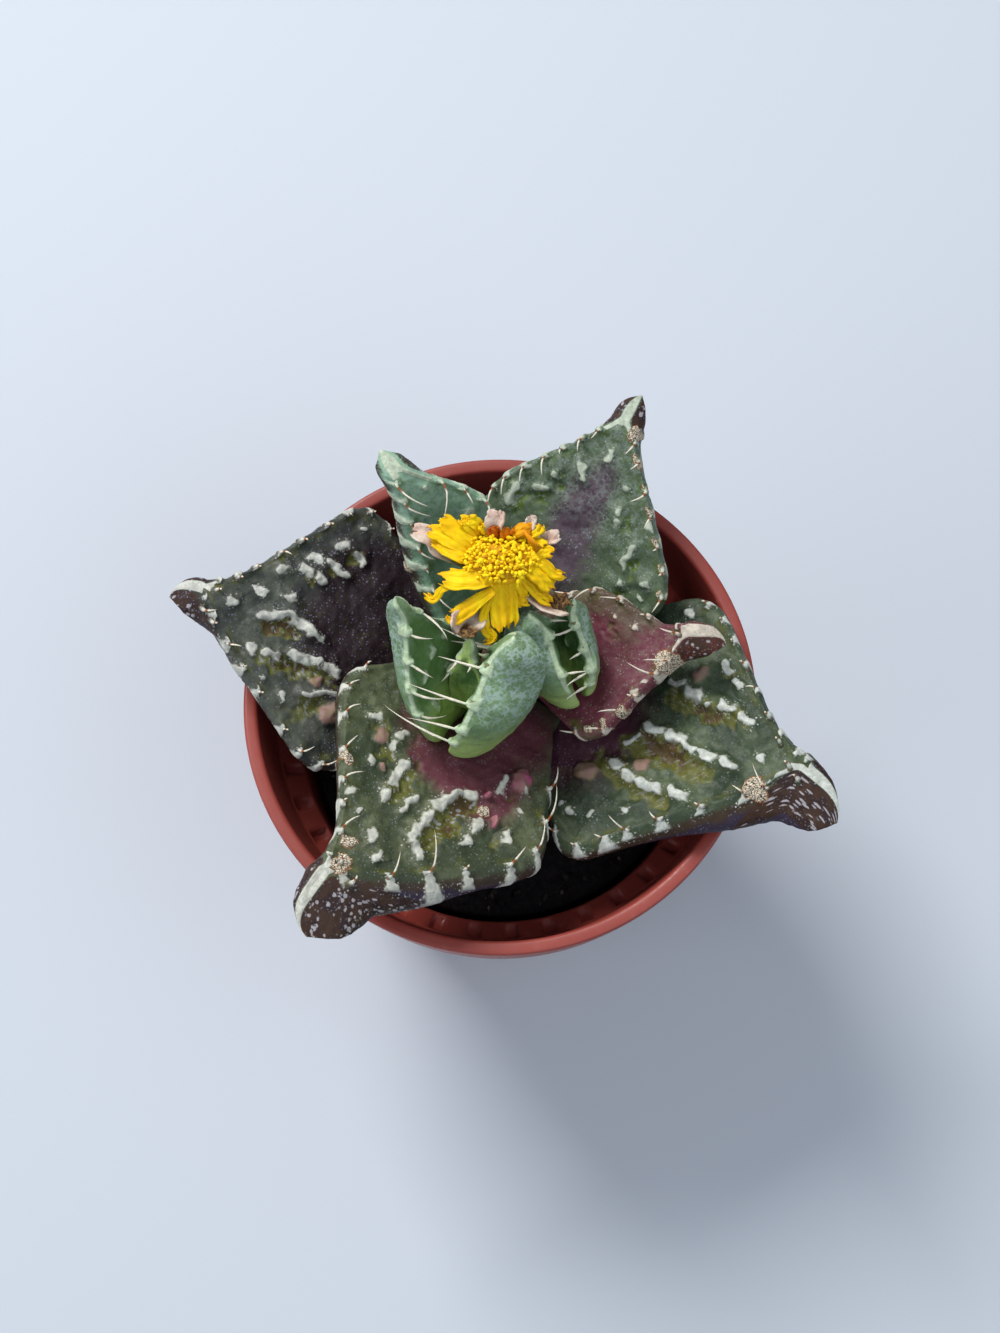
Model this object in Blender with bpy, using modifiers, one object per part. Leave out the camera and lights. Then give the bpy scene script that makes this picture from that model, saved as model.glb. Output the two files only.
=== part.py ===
# Potted tiger jaws: a small Faucaria in a round plastic nursery pot, with one withered flower.
# The frame is Z up with its origin at the middle of the pot's base, and -Y is the side that faces the viewer.
# Sizes are in millimetres and angles in degrees; MM turns them into metres where the meshes are made.

import math
from dataclasses import dataclass

import bmesh
import bpy
import numpy as np
from mathutils import Matrix, Vector, noise

MM = 0.001
GAP = 0.3  # clear space left between touching pieces

POT_HEIGHT = 48.0
POT_RIM_RADIUS = 27.5
POT_WALL = 1.2
POT_COLLAR_DEPTH = 11.0
POT_COLLAR_FOOT_RADIUS = 26.3
POT_BODY_TOP_RADIUS = 23.4
POT_BASE_RADIUS = 19.2
POT_FLOOR = 1.8
LEDGE_TOP = 39.4  # heights of the sloping ledge inside the collar
LEDGE_FOOT = 36.9
POT_STEPS = 60
LEDGE_SLOTS = 36
LEDGE_SLOT_WIDTH = 1.0
LEDGE_SLOT_LENGTH = 0.75  # as a share of the ledge
LEDGE_SLOT_DEPTH = 0.6
DRAIN_HOLES = 5
DRAIN_RADIUS = 2.0
DRAIN_CIRCLE = 12.0

SOIL_EDGE_HEIGHT = 34.5
SOIL_CROWN_HEIGHT = 36.6
SOIL_LUMP = 0.7
SOIL_STEPS = 48

STEM_RADIUS = 2.6
STEM_FOOT = 27.0
STEM_TOP = 50.8
STEM_CENTRE = (0.4, 4.0)

FLOWER_CENTRE = (0.2, 10.5, 65.5)  # middle of the dome of stamens
FLOWER_LEAN = 20.0  # how far the flower's axis leans back from upright
CUP_RADIUS = 2.9

TOOTH_LENGTH = 3.4
TOOTH_ROOT = 0.6
TIP_THICKNESS = 1.5  # what the rounded end of a leaf keeps under its ridge


def soft_min(a, b, width):
    blend = np.clip(0.5 + 0.5 * (b - a) / width, 0, 1)
    return b * (1 - blend) + a * blend - width * blend * (1 - blend)


def soft_max(a, b, width):
    return -soft_min(-a, -b, width)


@dataclass
class Leaf:
    """A thick keeled leaf: a nearly flat upper face between two toothed margins, over a rounded keel.
    Left and right are seen from its root towards its tip."""

    base: tuple  # middle of the root on the upper face
    heading: float  # direction of the tip, from +X towards +Y
    rise: float
    bend: float  # how far the upper face turns up, or down if negative, by the tip
    length: float
    left: float  # widest distance from the midline to the left margin
    left_at: float  # and how far along the leaf that is, from 0 to 1
    right: float
    right_at: float
    roll: float = 0.0
    sickle: float = 0.0  # sideways sweep of the tip
    hook: float = 0.0  # and a closer bend of its last third
    shoulder: float = 0.9  # where the margins meet and the blunt ridge of the tip begins
    root: float = 4.5  # half width at the root
    root_depth: float = 3.5
    depth: float = 5.0
    dish: float = 0.8
    ridge: float = 0.6
    chin: float = 2.6  # half width of the flanks below the ridge
    flare: tuple = (0.0, 0.0)  # how far each flank stands out past its margin
    swell: tuple = (0.0, 0.0)  # and how much further towards the tip
    drop: float = 2.5
    tail: float = 2.0  # stretch that runs in towards the stem
    teeth: tuple = (7, 7)
    teeth_span: tuple = (0.26, 0.86)
    tooth_scale: float = 1.0
    bumps: tuple = ()  # along, across, length, turn and height of each wart on the upper face
    colour: tuple = (0.07, 0.11, 0.05)


def deck_half(leaf, u, side):
    """Half width of the upper face at the fraction u of the leaf's length."""
    widest, where = (leaf.left, leaf.left_at) if side > 0 else (leaf.right, leaf.right_at)
    rising = leaf.root + (widest - leaf.root) * u / where
    falling = widest * (leaf.shoulder - u) / (leaf.shoulder - where)
    edge = soft_min(rising, falling, min(4.6, 0.42 * widest))
    past = np.clip((u - leaf.shoulder) / (1 - leaf.shoulder), 0, 1)
    ridge = leaf.ridge * np.sqrt(1 - past**2)
    return max(float(soft_max(edge, ridge, 0.5 * leaf.ridge)), 0.05)


def flank_half(leaf, u, deck, side):
    """Half width of the leaf under its upper face, which it passes a little."""
    past = np.clip((u - leaf.shoulder + 0.12) / (1.12 - leaf.shoulder), 0, 1)
    grown = np.clip((u - 0.3) / (leaf.shoulder - 0.3), 0, 1)
    along = min(1.0, max(0.0, u))
    swell = leaf.swell[0 if side > 0 else 1]
    flare = leaf.flare[0 if side > 0 else 1] * math.sin(math.pi * along**0.7)
    flare += swell * math.sin(math.pi * along**3.0)
    chin = leaf.chin + 0.6 * swell
    return float(soft_max(deck + 0.15 + flare, chin * np.sqrt(1 - past**2.2) * grown, 0.8))


def keel_depth(leaf, u):
    rise = np.clip(u / 0.62, 0, 1)
    fall = np.clip((u - 0.62) / 0.38, 0, 1)
    swell = np.sin(rise * math.pi / 2) ** 1.2
    body = (leaf.root_depth + (leaf.depth - leaf.root_depth) * swell) * np.sqrt(1 - fall**2.6)
    tip = tip_drop(leaf, u) + TIP_THICKNESS * (1 - 0.6 * fall**3)
    return float(soft_max(body, tip, 0.6))


def tip_drop(leaf, u):
    return leaf.drop * max(0.0, (u - leaf.shoulder * 0.93) / (1 - leaf.shoulder * 0.93)) ** 1.7


def deck_height(leaf, u, s):
    """Height of the upper face at s, which runs from 1 on the left margin to -1 on the right one."""
    level = min(1.0, max(0.0, 1.3 * (leaf.shoulder - u) / leaf.shoulder))
    return leaf.dish * s * s * level - tip_drop(leaf, u)


def cross_section(leaf, u, grow, top_steps, flank_steps):
    """Points (across, up) of the leaf's outline at u: over the upper face, then round the keel."""
    u = float(u)
    decks = {side: deck_half(leaf, u, side) + grow for side in (1, -1)}
    depth = keel_depth(leaf, u) + grow
    drop = tip_drop(leaf, u)
    points = []
    for i in range(top_steps + 1):
        s = 1 - 2 * i / top_steps
        points.append((s * decks[1 if s > 0 else -1], deck_height(leaf, u, s) + grow))
    narrow = 0.25 + 0.25 * (1 - min(1.0, max(0.0, (u - 0.4) / 0.4)))

    def flank(side):
        edge = deck_height(leaf, u, 1.0) + grow
        width = flank_half(leaf, u, decks[side] - grow, side) + grow
        corners = np.array(
            [
                (side * decks[side], edge),
                (side * width * 1.18, edge - 0.30 * (depth - drop * 0.6)),
                (side * narrow * width * 1.5, -depth * 0.96),
                (0.0, -depth),
            ]
        )
        weights = []
        for i in range(1, flank_steps + 1):
            t = i / flank_steps
            weights.append(((1 - t) ** 3, 3 * t * (1 - t) ** 2, 3 * t * t * (1 - t), t**3))
        return [tuple(row) for row in np.array(weights) @ corners]

    return points + flank(-1) + flank(1)[:-1][::-1]


def leaf_matrix(leaf):
    turn = Matrix.Rotation(math.radians(leaf.heading), 4, "Z")
    lift = Matrix.Rotation(-math.radians(leaf.rise), 4, "Y")
    roll = Matrix.Rotation(math.radians(leaf.roll), 4, "X")
    return Matrix.Translation(leaf.base) @ turn @ lift @ roll


def on_leaf(leaf, matrix, u, across, up):
    """Place in the pot's frame of a point at u along the bent midline, across it and above it."""
    bend = math.radians(leaf.bend)
    turned = bend * u
    along = leaf.length * math.sin(turned) / bend
    climb = leaf.length * (1 - math.cos(turned)) / bend
    swept = leaf.sickle * u * u + leaf.hook * max(0.0, (u - 0.7) / 0.3) ** 2
    local = Vector(
        (
            along - up * math.sin(turned),
            across + swept,
            climb + up * math.cos(turned),
        )
    )
    return matrix @ local


def mesh_object(name, points, faces, collection):
    mesh = bpy.data.meshes.new(name)
    mesh.from_pydata([Vector(p) * MM for p in points], [], faces)
    built = bmesh.new()
    built.from_mesh(mesh)
    if built.calc_volume(signed=True) < 0:
        bmesh.ops.reverse_faces(built, faces=built.faces)
    built.to_mesh(mesh)
    built.free()
    placed = bpy.data.objects.new(name, mesh)
    collection.objects.link(placed)
    return placed


def loft(name, rings, collection, tip=None):
    """A closed skin over rings of points, ended flat or in the point tip."""
    count = len(rings[0])
    points = [point for ring in rings for point in ring]
    faces = []
    for row in range(len(rings) - 1):
        for i in range(count):
            j = (i + 1) % count
            a, b = row * count, (row + 1) * count
            faces.append((a + i, a + j, b + j))
            faces.append((a + i, b + j, b + i))
    faces.append(tuple(range(count))[::-1])
    last = (len(rings) - 1) * count
    if tip is None:
        faces.append(tuple(range(last, last + count)))
    else:
        points.append(tip)
        faces += [(last + i, last + (i + 1) % count, len(points) - 1) for i in range(count)]
    return mesh_object(name, points, faces, collection)


def leaf_body(name, leaf, collection, grow=0.0, top_steps=6, flank_steps=4):
    matrix = leaf_matrix(leaf)
    start = -(leaf.tail + grow) / leaf.length
    rings = 15 if leaf.length > 20 else 11
    skins = []
    for i in range(rings):
        t = i / rings
        u = start + (0.985 - start) * (0.3 * 0.5 * (1 - math.cos(math.pi * t)) + 0.7 * t) / 0.985
        outline = cross_section(leaf, max(u, start), grow, top_steps, flank_steps)
        skins.append([on_leaf(leaf, matrix, u, across, up) for across, up in outline])
    last = cross_section(leaf, 0.985, grow, top_steps, flank_steps)
    skins.append([on_leaf(leaf, matrix, 0.985, across, up) for across, up in last])
    end_height = -0.5 * (keel_depth(leaf, 0.985) + tip_drop(leaf, 1.0))
    end = on_leaf(leaf, matrix, 1.0 + grow / leaf.length, 0.0, end_height)
    return loft(name, skins, collection, tip=end)


def tube_rings(path, radii, sides, up):
    """Rings round a path, square to it and without a twist."""
    rings = []
    side = (path[1] - path[0]).cross(up)
    for i, point in enumerate(path):
        ahead = (path[min(i + 1, len(path) - 1)] - path[max(i - 1, 0)]).normalized()
        side = (side - ahead * side.dot(ahead)).normalized()
        over = side.cross(ahead)
        ring = []
        for k in range(sides):
            angle = 2 * math.pi * (k + 0.5) / sides
            ring.append(point + radii[i] * (math.cos(angle) * side + math.sin(angle) * over))
        rings.append(ring)
    return rings


def leaf_teeth(name, leaf, collection, grow=0.0):
    """Hooked teeth on both margins, each leaning out, up and back towards the root."""
    matrix = leaf_matrix(leaf)
    first, last = leaf.teeth_span
    for side, count in zip((1, -1), leaf.teeth):
        for i in range(count):
            u = first + (last - first) * (i + 0.5) / count
            size = leaf.tooth_scale * (0.85 + 0.3 * math.sin(math.pi * (i + 0.5) / count))
            length = TOOTH_LENGTH * size
            deck = deck_half(leaf, u, side)
            height = deck_height(leaf, u, 1.0)
            path = []
            for back, out, lift in ((0.0, -0.9, -0.8), (0.0, 0.3, 0.1), (0.3, 0.35, 0.75)):
                across = side * (deck + out)
                path.append(on_leaf(leaf, matrix, u - back * length / leaf.length, across, height + lift))
            tip = on_leaf(
                leaf,
                matrix,
                u - (length + grow) / leaf.length,
                side * (deck - 0.1 * length),
                height + 0.4 * length,
            )
            radii = [TOOTH_ROOT * size + grow, TOOTH_ROOT * size + grow, 0.32 + grow]
            rings = tube_rings(path, radii, 3, up=matrix.to_3x3() @ Vector((0, 0, 1)))
            loft(f"{name}_tooth", rings, collection, tip=tip)


def leaf_bumps(name, leaf, collection, grow=0.0):
    """Warts and short ridges on the upper face: half-sunk ellipsoids that follow it."""
    matrix = leaf_matrix(leaf)
    for along, across, length, turn, height in leaf.bumps:
        side = 1 if across > 0 else -1
        deck = deck_half(leaf, along, side)
        level = deck_height(leaf, along, across / deck)
        middle = on_leaf(leaf, matrix, along, across, level)
        angle = matrix.to_3x3() @ Matrix.Rotation(math.radians(leaf.bend * along), 3, "Y").inverted()
        width = 0.62 + 0.25 * height
        built = bmesh.new()
        bmesh.ops.create_uvsphere(built, u_segments=8 if length > 3 else 6, v_segments=4, radius=1.0)
        size = Matrix.Diagonal((length / 2 + grow, width + grow, height + grow, 1))
        spin = Matrix.Rotation(math.radians(turn), 4, "Z")
        place = Matrix.Translation(middle) @ angle.to_4x4() @ spin @ size
        bmesh.ops.transform(built, matrix=place, verts=built.verts)
        bmesh.ops.scale(built, vec=(MM, MM, MM), verts=built.verts)
        mesh = bpy.data.meshes.new(f"{name}_bump")
        built.to_mesh(mesh)
        built.free()
        collection.objects.link(bpy.data.objects.new(f"{name}_bump", mesh))


def remove_objects(objects):
    for spent in list(objects):
        bpy.data.objects.remove(spent)


def bake_modifiers(target):
    """Replaces the object's mesh by its evaluated mesh and clears its modifiers."""
    bpy.context.view_layer.update()
    graph = bpy.context.evaluated_depsgraph_get()
    baked = bpy.data.meshes.new_from_object(target.evaluated_get(graph))
    target.modifiers.clear()
    target.data = baked


def combine(target, others, operation):
    """One Boolean of the target with every object of a collection, which is then emptied."""
    if not others.objects:
        return
    modifier = target.modifiers.new(operation.title(), "BOOLEAN")
    modifier.operation = operation
    modifier.operand_type = "COLLECTION"
    modifier.collection = others
    modifier.solver = "EXACT"
    bake_modifiers(target)
    remove_objects(others.objects)


def keep_largest(target):
    """Drops the loose scraps that a cut leaves."""
    built = bmesh.new()
    built.from_mesh(target.data)
    left = set(built.verts)
    islands = []
    while left:
        island = set()
        frontier = [left.pop()]
        while frontier:
            vertex = frontier.pop()
            island.add(vertex)
            for edge in vertex.link_edges:
                other = edge.other_vert(vertex)
                if other in left:
                    left.discard(other)
                    frontier.append(other)
        islands.append(island)
    islands.sort(key=len)
    for island in islands[:-1]:
        bmesh.ops.delete(built, geom=list(island), context="VERTS")
    built.to_mesh(target.data)
    built.free()


def grown_leaf(name, leaf, collection):
    """A copy of a leaf with its teeth, thicker all round by the gap, to cut its neighbour clear."""
    leaf_body(name, leaf, collection, grow=GAP)
    leaf_teeth(name, leaf, collection, grow=GAP)
    leaf_bumps(name, leaf, collection, grow=GAP)


LEAVES = {
    "front_shoot_leaf_right": Leaf(
        base=(-4.2, -4.3, 50.5),
        heading=52,
        rise=58,
        roll=-72,
        bend=10,
        length=16,
        left=5.6,
        left_at=0.45,
        right=5.6,
        right_at=0.45,
        shoulder=0.84,
        root=4.2,
        root_depth=3.6,
        depth=6.0,
        dish=0.6,
        chin=3.2,
        drop=1.6,
        tail=0.6,
        teeth=(3, 4),
        tooth_scale=0.9,
        colour=(0.12, 0.22, 0.12),
    ),
    "front_shoot_leaf_left": Leaf(
        base=(-4.7, -3.4, 50.5),
        heading=118,
        rise=54,
        roll=32,
        bend=4,
        length=18.5,
        left=4.6,
        left_at=0.42,
        right=6.2,
        right_at=0.42,
        shoulder=0.93,
        sickle=0.6,
        root=3.8,
        root_depth=2.6,
        depth=3.8,
        dish=0.6,
        ridge=0.5,
        chin=1.4,
        drop=0.8,
        tail=0.6,
        teeth=(4, 3),
        tooth_scale=0.9,
        colour=(0.12, 0.22, 0.12),
    ),
    "front_shoot_heart_leaf": Leaf(
        base=(-3.6, -2.2, 52.0),
        heading=84,
        rise=62,
        roll=-24,
        bend=8,
        length=10.5,
        left=2.2,
        left_at=0.4,
        right=2.4,
        right_at=0.4,
        shoulder=0.9,
        root=1.6,
        root_depth=1.4,
        depth=2.0,
        dish=0.2,
        ridge=0.4,
        chin=1.0,
        drop=0.5,
        tail=0.4,
        teeth=(2, 2),
        tooth_scale=0.7,
        colour=(0.17, 0.28, 0.12),
    ),
    "right_shoot_leaf_left": Leaf(
        base=(7.8, 0.4, 51.8),
        heading=132,
        rise=57,
        roll=60,
        bend=10,
        length=12.2,
        left=4.4,
        left_at=0.45,
        right=4.4,
        right_at=0.45,
        shoulder=0.84,
        root=3.6,
        root_depth=3.0,
        depth=4.8,
        dish=0.5,
        ridge=0.5,
        chin=2.3,
        drop=1.2,
        tail=0.5,
        teeth=(3, 3),
        tooth_scale=0.7,
        colour=(0.10, 0.19, 0.11),
    ),
    "right_shoot_leaf_right": Leaf(
        base=(7.6, 0.7, 51.8),
        heading=92,
        rise=58,
        roll=-58,
        bend=8,
        length=11.5,
        left=4.0,
        left_at=0.42,
        right=4.0,
        right_at=0.42,
        shoulder=0.93,
        root=3.0,
        root_depth=2.0,
        depth=2.6,
        dish=0.5,
        ridge=0.4,
        chin=1.0,
        drop=0.6,
        tail=0.5,
        teeth=(2, 3),
        tooth_scale=0.7,
        colour=(0.10, 0.19, 0.11),
    ),
    "leaf_inner_right": Leaf(
        base=(2.9, 4.9, 49.5),
        heading=-4.4,
        rise=30,
        roll=8,
        bend=-6,
        length=21.8,
        left=6.4,
        left_at=0.39,
        right=10.5,
        right_at=0.35,
        shoulder=0.85,
        sickle=-0.45,
        root=3.5,
        root_depth=3.0,
        depth=4.5,
        swell=(0.0, 1.2),
        teeth=(5, 6),
        bumps=((0.42, 4.2, 1.8, 0, 0.35), (0.6, 3.0, 1.6, 20, 0.35)),
        colour=(0.16, 0.06, 0.07),
    ),
    "leaf_inner_back": Leaf(
        base=(-1.7, 7.2, 49.5),
        heading=119.1,
        rise=46,
        bend=8,
        length=24.0,
        left=3.0,
        left_at=0.44,
        right=6.8,
        right_at=0.6,
        shoulder=0.96,
        sickle=2.3,
        root=3.5,
        root_depth=3.0,
        depth=5.0,
        chin=3.0,
        flare=(2.2, 0.0),
        drop=2.0,
        tail=1.6,
        teeth=(7, 5),
        bumps=((0.59, -4.2, 1.5, 0, 0.35),),
        colour=(0.08, 0.15, 0.09),
    ),
    "leaf_outer_front": Leaf(
        base=(0.7, 1.0, 46.0),
        heading=235.3,
        rise=30,
        roll=-8,
        bend=-12,
        length=36.8,
        left=14.0,
        left_at=0.41,
        right=14.2,
        right_at=0.32,
        shoulder=0.87,
        sickle=-0.4,
        root=6.0,
        root_depth=3.5,
        depth=5.5,
        swell=(4.4, 0.2),
        hook=1.0,
        ridge=0.8,
        chin=3.7,
        teeth=(8, 8),
        bumps=(
            (0.39, -5.4, 3.0, 0, 0.7),
            (0.50, -2.7, 5.4, 8, 0.8),
            (0.44, 2.9, 5.8, -20, 0.8),
            (0.56, 2.4, 4.6, 12, 0.8),
            (0.53, -0.1, 2.6, -9, 0.5),
            (0.67, -0.8, 2.0, 0, 0.5),
            (0.45, 6.5, 2.4, -30, 0.5),
            (0.51, 6.9, 2.4, -20, 0.5),
            (0.34, -6.6, 3.2, 10, 0.9),
            (0.23, 7.2, 4.8, 60, 1.6),
            (0.38, 6.3, 2.6, 30, 0.7),
        ),
        colour=(0.08, 0.09, 0.05),
    ),
    "leaf_outer_back": Leaf(
        base=(1.9, 6.8, 46.0),
        heading=56.7,
        rise=36,
        bend=-10,
        length=30.0,
        left=11.0,
        left_at=0.45,
        right=12.6,
        right_at=0.43,
        shoulder=0.92,
        sickle=1.9,
        root_depth=3.5,
        depth=5.5,
        ridge=0.8,
        chin=3.2,
        teeth=(7, 7),
        bumps=(
            (0.77, 0.2, 2.4, 30, 0.55),
            (0.62, 4.6, 2.4, 30, 0.55),
            (0.46, 8.0, 2.4, 30, 0.55),
            (0.56, 6.9, 2.2, 0, 0.5),
            (0.70, -2.9, 2.4, 0, 0.6),
            (0.63, -3.4, 2.6, 0, 0.6),
            (0.58, -3.9, 2.8, 0, 0.6),
            (0.51, -6.4, 2.2, 0, 0.5),
            (0.41, -6.8, 2.2, 0, 0.5),
        ),
        colour=(0.08, 0.11, 0.07),
    ),
    "leaf_outer_left": Leaf(
        base=(-3.6, 2.8, 42.5),
        heading=171,
        rise=31,
        roll=-4,
        bend=-14,
        length=34.3,
        left=13.8,
        left_at=0.46,
        right=16.1,
        right_at=0.47,
        shoulder=0.93,
        sickle=-1.3,
        root_depth=3.5,
        depth=5.0,
        swell=(1.4, 0.0),
        ridge=0.8,
        chin=3.4,
        teeth=(7, 7),
        bumps=(
            (0.63, -0.2, 7.5, -3, 0.75),
            (0.59, 3.1, 10.2, 1, 0.75),
            (0.47, 5.7, 5.2, 13, 0.7),
            (0.55, -8.2, 4.6, -8, 0.65),
            (0.59, -6.3, 4.0, -6, 0.65),
            (0.45, -9.7, 2.6, 60, 0.6),
            (0.75, -3.0, 2.4, -10, 0.5),
            (0.64, -3.4, 2.6, 0, 0.5),
            (0.60, 6.9, 2.0, 0, 0.5),
            (0.51, 4.3, 2.2, 0, 0.9),
            (0.44, 8.0, 3.6, 10, 1.0),
        ),
        colour=(0.07, 0.07, 0.05),
    ),
    "leaf_outer_right": Leaf(
        base=(4.0, 4.3, 42.5),
        heading=333.3,
        rise=30,
        roll=6,
        bend=-14,
        length=38.0,
        left=14.1,
        left_at=0.44,
        right=17.3,
        right_at=0.33,
        shoulder=0.89,
        sickle=-2.2,
        root_depth=3.5,
        depth=5.0,
        swell=(0.2, 3.8),
        hook=-2.0,
        ridge=0.8,
        chin=3.7,
        teeth=(8, 8),
        bumps=(
            (0.55, 3.8, 9.6, -5, 0.8),
            (0.40, -3.0, 3.9, 47, 0.7),
            (0.54, -1.8, 8.8, -1, 0.8),
            (0.33, -6.5, 5.6, -8, 0.8),
            (0.50, -6.9, 6.0, 4, 0.75),
            (0.61, 6.6, 2.0, 0, 0.5),
            (0.31, -12.8, 2.0, 0, 0.5),
            (0.45, -10.5, 2.0, 0, 0.5),
            (0.29, -8.9, 3.8, 0, 1.2),
            (0.43, -4.9, 2.4, 0, 0.8),
            (0.50, 5.9, 2.6, 0, 0.8),
        ),
        colour=(0.08, 0.11, 0.05),
    ),
}

# Each petal: its direction round the flower, how far it reaches, half its width and how far its end rises.
PETALS = (
    (139, 5.0, 1.1, 1.4),
    (156, 8.0, 1.3, 0.6),
    (170, 7.2, 1.4, 0.2),
    (186, 6.4, 1.3, 0.0),
    (200, 7.2, 1.3, -0.6),
    (209, 8.9, 0.7, -2.4),
    (226, 8.0, 0.8, -3.2),
    (242, 6.4, 0.8, -2.4),
    (258, 8.0, 0.8, -4.0),
    (269, 7.6, 1.0, -3.2),
    (282, 6.4, 0.9, -2.4),
    (302, 5.5, 0.8, -1.8),
    (317, 5.6, 0.8, -1.6),
    (332, 6.4, 0.8, -1.6),
    (344, 6.6, 0.8, -1.0),
    (0, 4.6, 0.8, 0.2),
    (32, 4.4, 0.9, 1.4),
    (58, 4.1, 0.9, 1.7),
    (85, 3.8, 0.9, 1.8),
    (112, 4.0, 0.9, 1.8),
)
# Each dry sepal in the same way.
SEPALS = (
    (168, 9.9, 1.5, -0.9),
    (106, 5.8, 1.2, 1.6),
    (46, 6.2, 1.1, 1.6),
    (14, 6.8, 1.1, 0.4),
    (322, 8.9, 1.6, -2.6),
    (240, 8.6, 1.6, -6.6),
)
PETAL_THICKNESS = 0.7
SEPAL_THICKNESS = 0.8
STAMENS = 28
STAMEN_RADIUS = 0.55
DOME = (3.3, 2.9, 1.5)  # half sizes of the dome of stamens
DOME_BASE = -0.6  # heights along the flower's axis, from its centre
DISC_TOP = -0.9
DISC_BOTTOM = -2.1
CUP_TOP = -2.4
CUP_BOTTOM = -6.0
STALK_RADIUS = 1.3


def material(name, colour, roughness, metallic=0.0):
    made = bpy.data.materials.new(name)
    made.use_nodes = True
    shader = made.node_tree.nodes["Principled BSDF"]
    shader.inputs["Base Color"].default_value = (*colour, 1)
    shader.inputs["Roughness"].default_value = roughness
    shader.inputs["Metallic"].default_value = metallic
    made.diffuse_color = (*colour, 1)
    return made


def finish(target, colour, roughness):
    target.data.materials.clear()
    target.data.materials.append(material(target.name, colour, roughness))
    target.data.shade_smooth()
    target.data.set_sharp_from_angle(angle=math.radians(40))


def collection(name):
    made = bpy.data.collections.new(name)
    bpy.context.scene.collection.children.link(made)
    return made


def turned(name, profile, steps, home, centre=(0, 0)):
    """A profile of (radius, height) turned round an upright axis through centre."""
    mesh = bpy.data.meshes.new(name)
    points = [(radius * MM, 0, height * MM) for radius, height in profile]
    mesh.from_pydata(points, [(i, i + 1) for i in range(len(points) - 1)], [])
    made = bpy.data.objects.new(name, mesh)
    home.objects.link(made)
    screw = made.modifiers.new("Screw", "SCREW")
    screw.steps = steps
    screw.render_steps = steps
    screw.use_merge_vertices = True
    screw.merge_threshold = 0.00001
    bake_modifiers(made)
    for vertex in made.data.vertices:
        vertex.co.x += centre[0] * MM
        vertex.co.y += centre[1] * MM
    return made


def cylinder(name, radius, bottom, top, sides, home, centre=(0, 0)):
    built = bmesh.new()
    bmesh.ops.create_cone(
        built,
        cap_ends=True,
        segments=sides,
        radius1=radius * MM,
        radius2=radius * MM,
        depth=(top - bottom) * MM,
    )
    middle = Vector((centre[0], centre[1], (top + bottom) / 2)) * MM
    bmesh.ops.translate(built, verts=built.verts, vec=middle)
    mesh = bpy.data.meshes.new(name)
    built.to_mesh(mesh)
    built.free()
    made = bpy.data.objects.new(name, mesh)
    home.objects.link(made)
    return made


def inner_wall(height):
    """Radius of the pot's inside face below the ledge."""
    top = POT_BODY_TOP_RADIUS - POT_WALL
    bottom = POT_BASE_RADIUS - POT_WALL
    return bottom + (top - bottom) * (height - POT_FLOOR) / (LEDGE_FOOT - POT_FLOOR)


def make_pot(home, cutters):
    """A thin-walled pot with a taller, wider collar, a slotted ledge inside it and drain holes."""
    collar_foot = POT_HEIGHT - POT_COLLAR_DEPTH
    collar_inner = POT_COLLAR_FOOT_RADIUS - 1.6
    profile = [
        (0, POT_FLOOR),
        (inner_wall(POT_FLOOR), POT_FLOOR),
        (inner_wall(LEDGE_FOOT), LEDGE_FOOT),
        (collar_inner, LEDGE_TOP),
        (POT_RIM_RADIUS - 1.5, POT_HEIGHT - 0.5),
        (POT_RIM_RADIUS - 1.1, POT_HEIGHT),
        (POT_RIM_RADIUS - 0.4, POT_HEIGHT),
        (POT_RIM_RADIUS, POT_HEIGHT - 0.5),
        (POT_COLLAR_FOOT_RADIUS, collar_foot),
        (POT_BODY_TOP_RADIUS, collar_foot - 0.8),
        (POT_BASE_RADIUS + 0.1, 0.6),
        (POT_BASE_RADIUS - 0.5, 0),
        (0, 0),
    ]
    pot = turned("pot", profile, POT_STEPS, home)
    for i in range(DRAIN_HOLES):
        angle = 2 * math.pi * i / DRAIN_HOLES
        centre = (DRAIN_CIRCLE * math.cos(angle), DRAIN_CIRCLE * math.sin(angle))
        cylinder("drain", DRAIN_RADIUS, -2, POT_FLOOR + 2, 12, cutters, centre)
    ledge = Vector((collar_inner - inner_wall(LEDGE_FOOT), 0, LEDGE_TOP - LEDGE_FOOT))
    slope = math.atan2(ledge.z, ledge.x)
    for i in range(LEDGE_SLOTS):
        angle = 2 * math.pi * (i + 0.3) / LEDGE_SLOTS
        built = bmesh.new()
        bmesh.ops.create_cube(built, size=1)
        length = ledge.length * LEDGE_SLOT_LENGTH
        size = Matrix.Diagonal((length, LEDGE_SLOT_WIDTH, 2 * LEDGE_SLOT_DEPTH, 1))
        lean = Matrix.Rotation(-slope, 4, "Y")
        middle = Vector((inner_wall(LEDGE_FOOT) + ledge.x / 2, 0, LEDGE_FOOT + ledge.z / 2))
        turn = Matrix.Rotation(angle, 4, "Z")
        place = Matrix.Scale(MM, 4) @ turn @ Matrix.Translation(middle) @ lean @ size
        bmesh.ops.transform(built, matrix=place, verts=built.verts)
        mesh = bpy.data.meshes.new("slot")
        built.to_mesh(mesh)
        built.free()
        cutters.objects.link(bpy.data.objects.new("slot", mesh))
    combine(pot, cutters, "DIFFERENCE")
    finish(pot, (0.36, 0.075, 0.04), 0.5)


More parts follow.
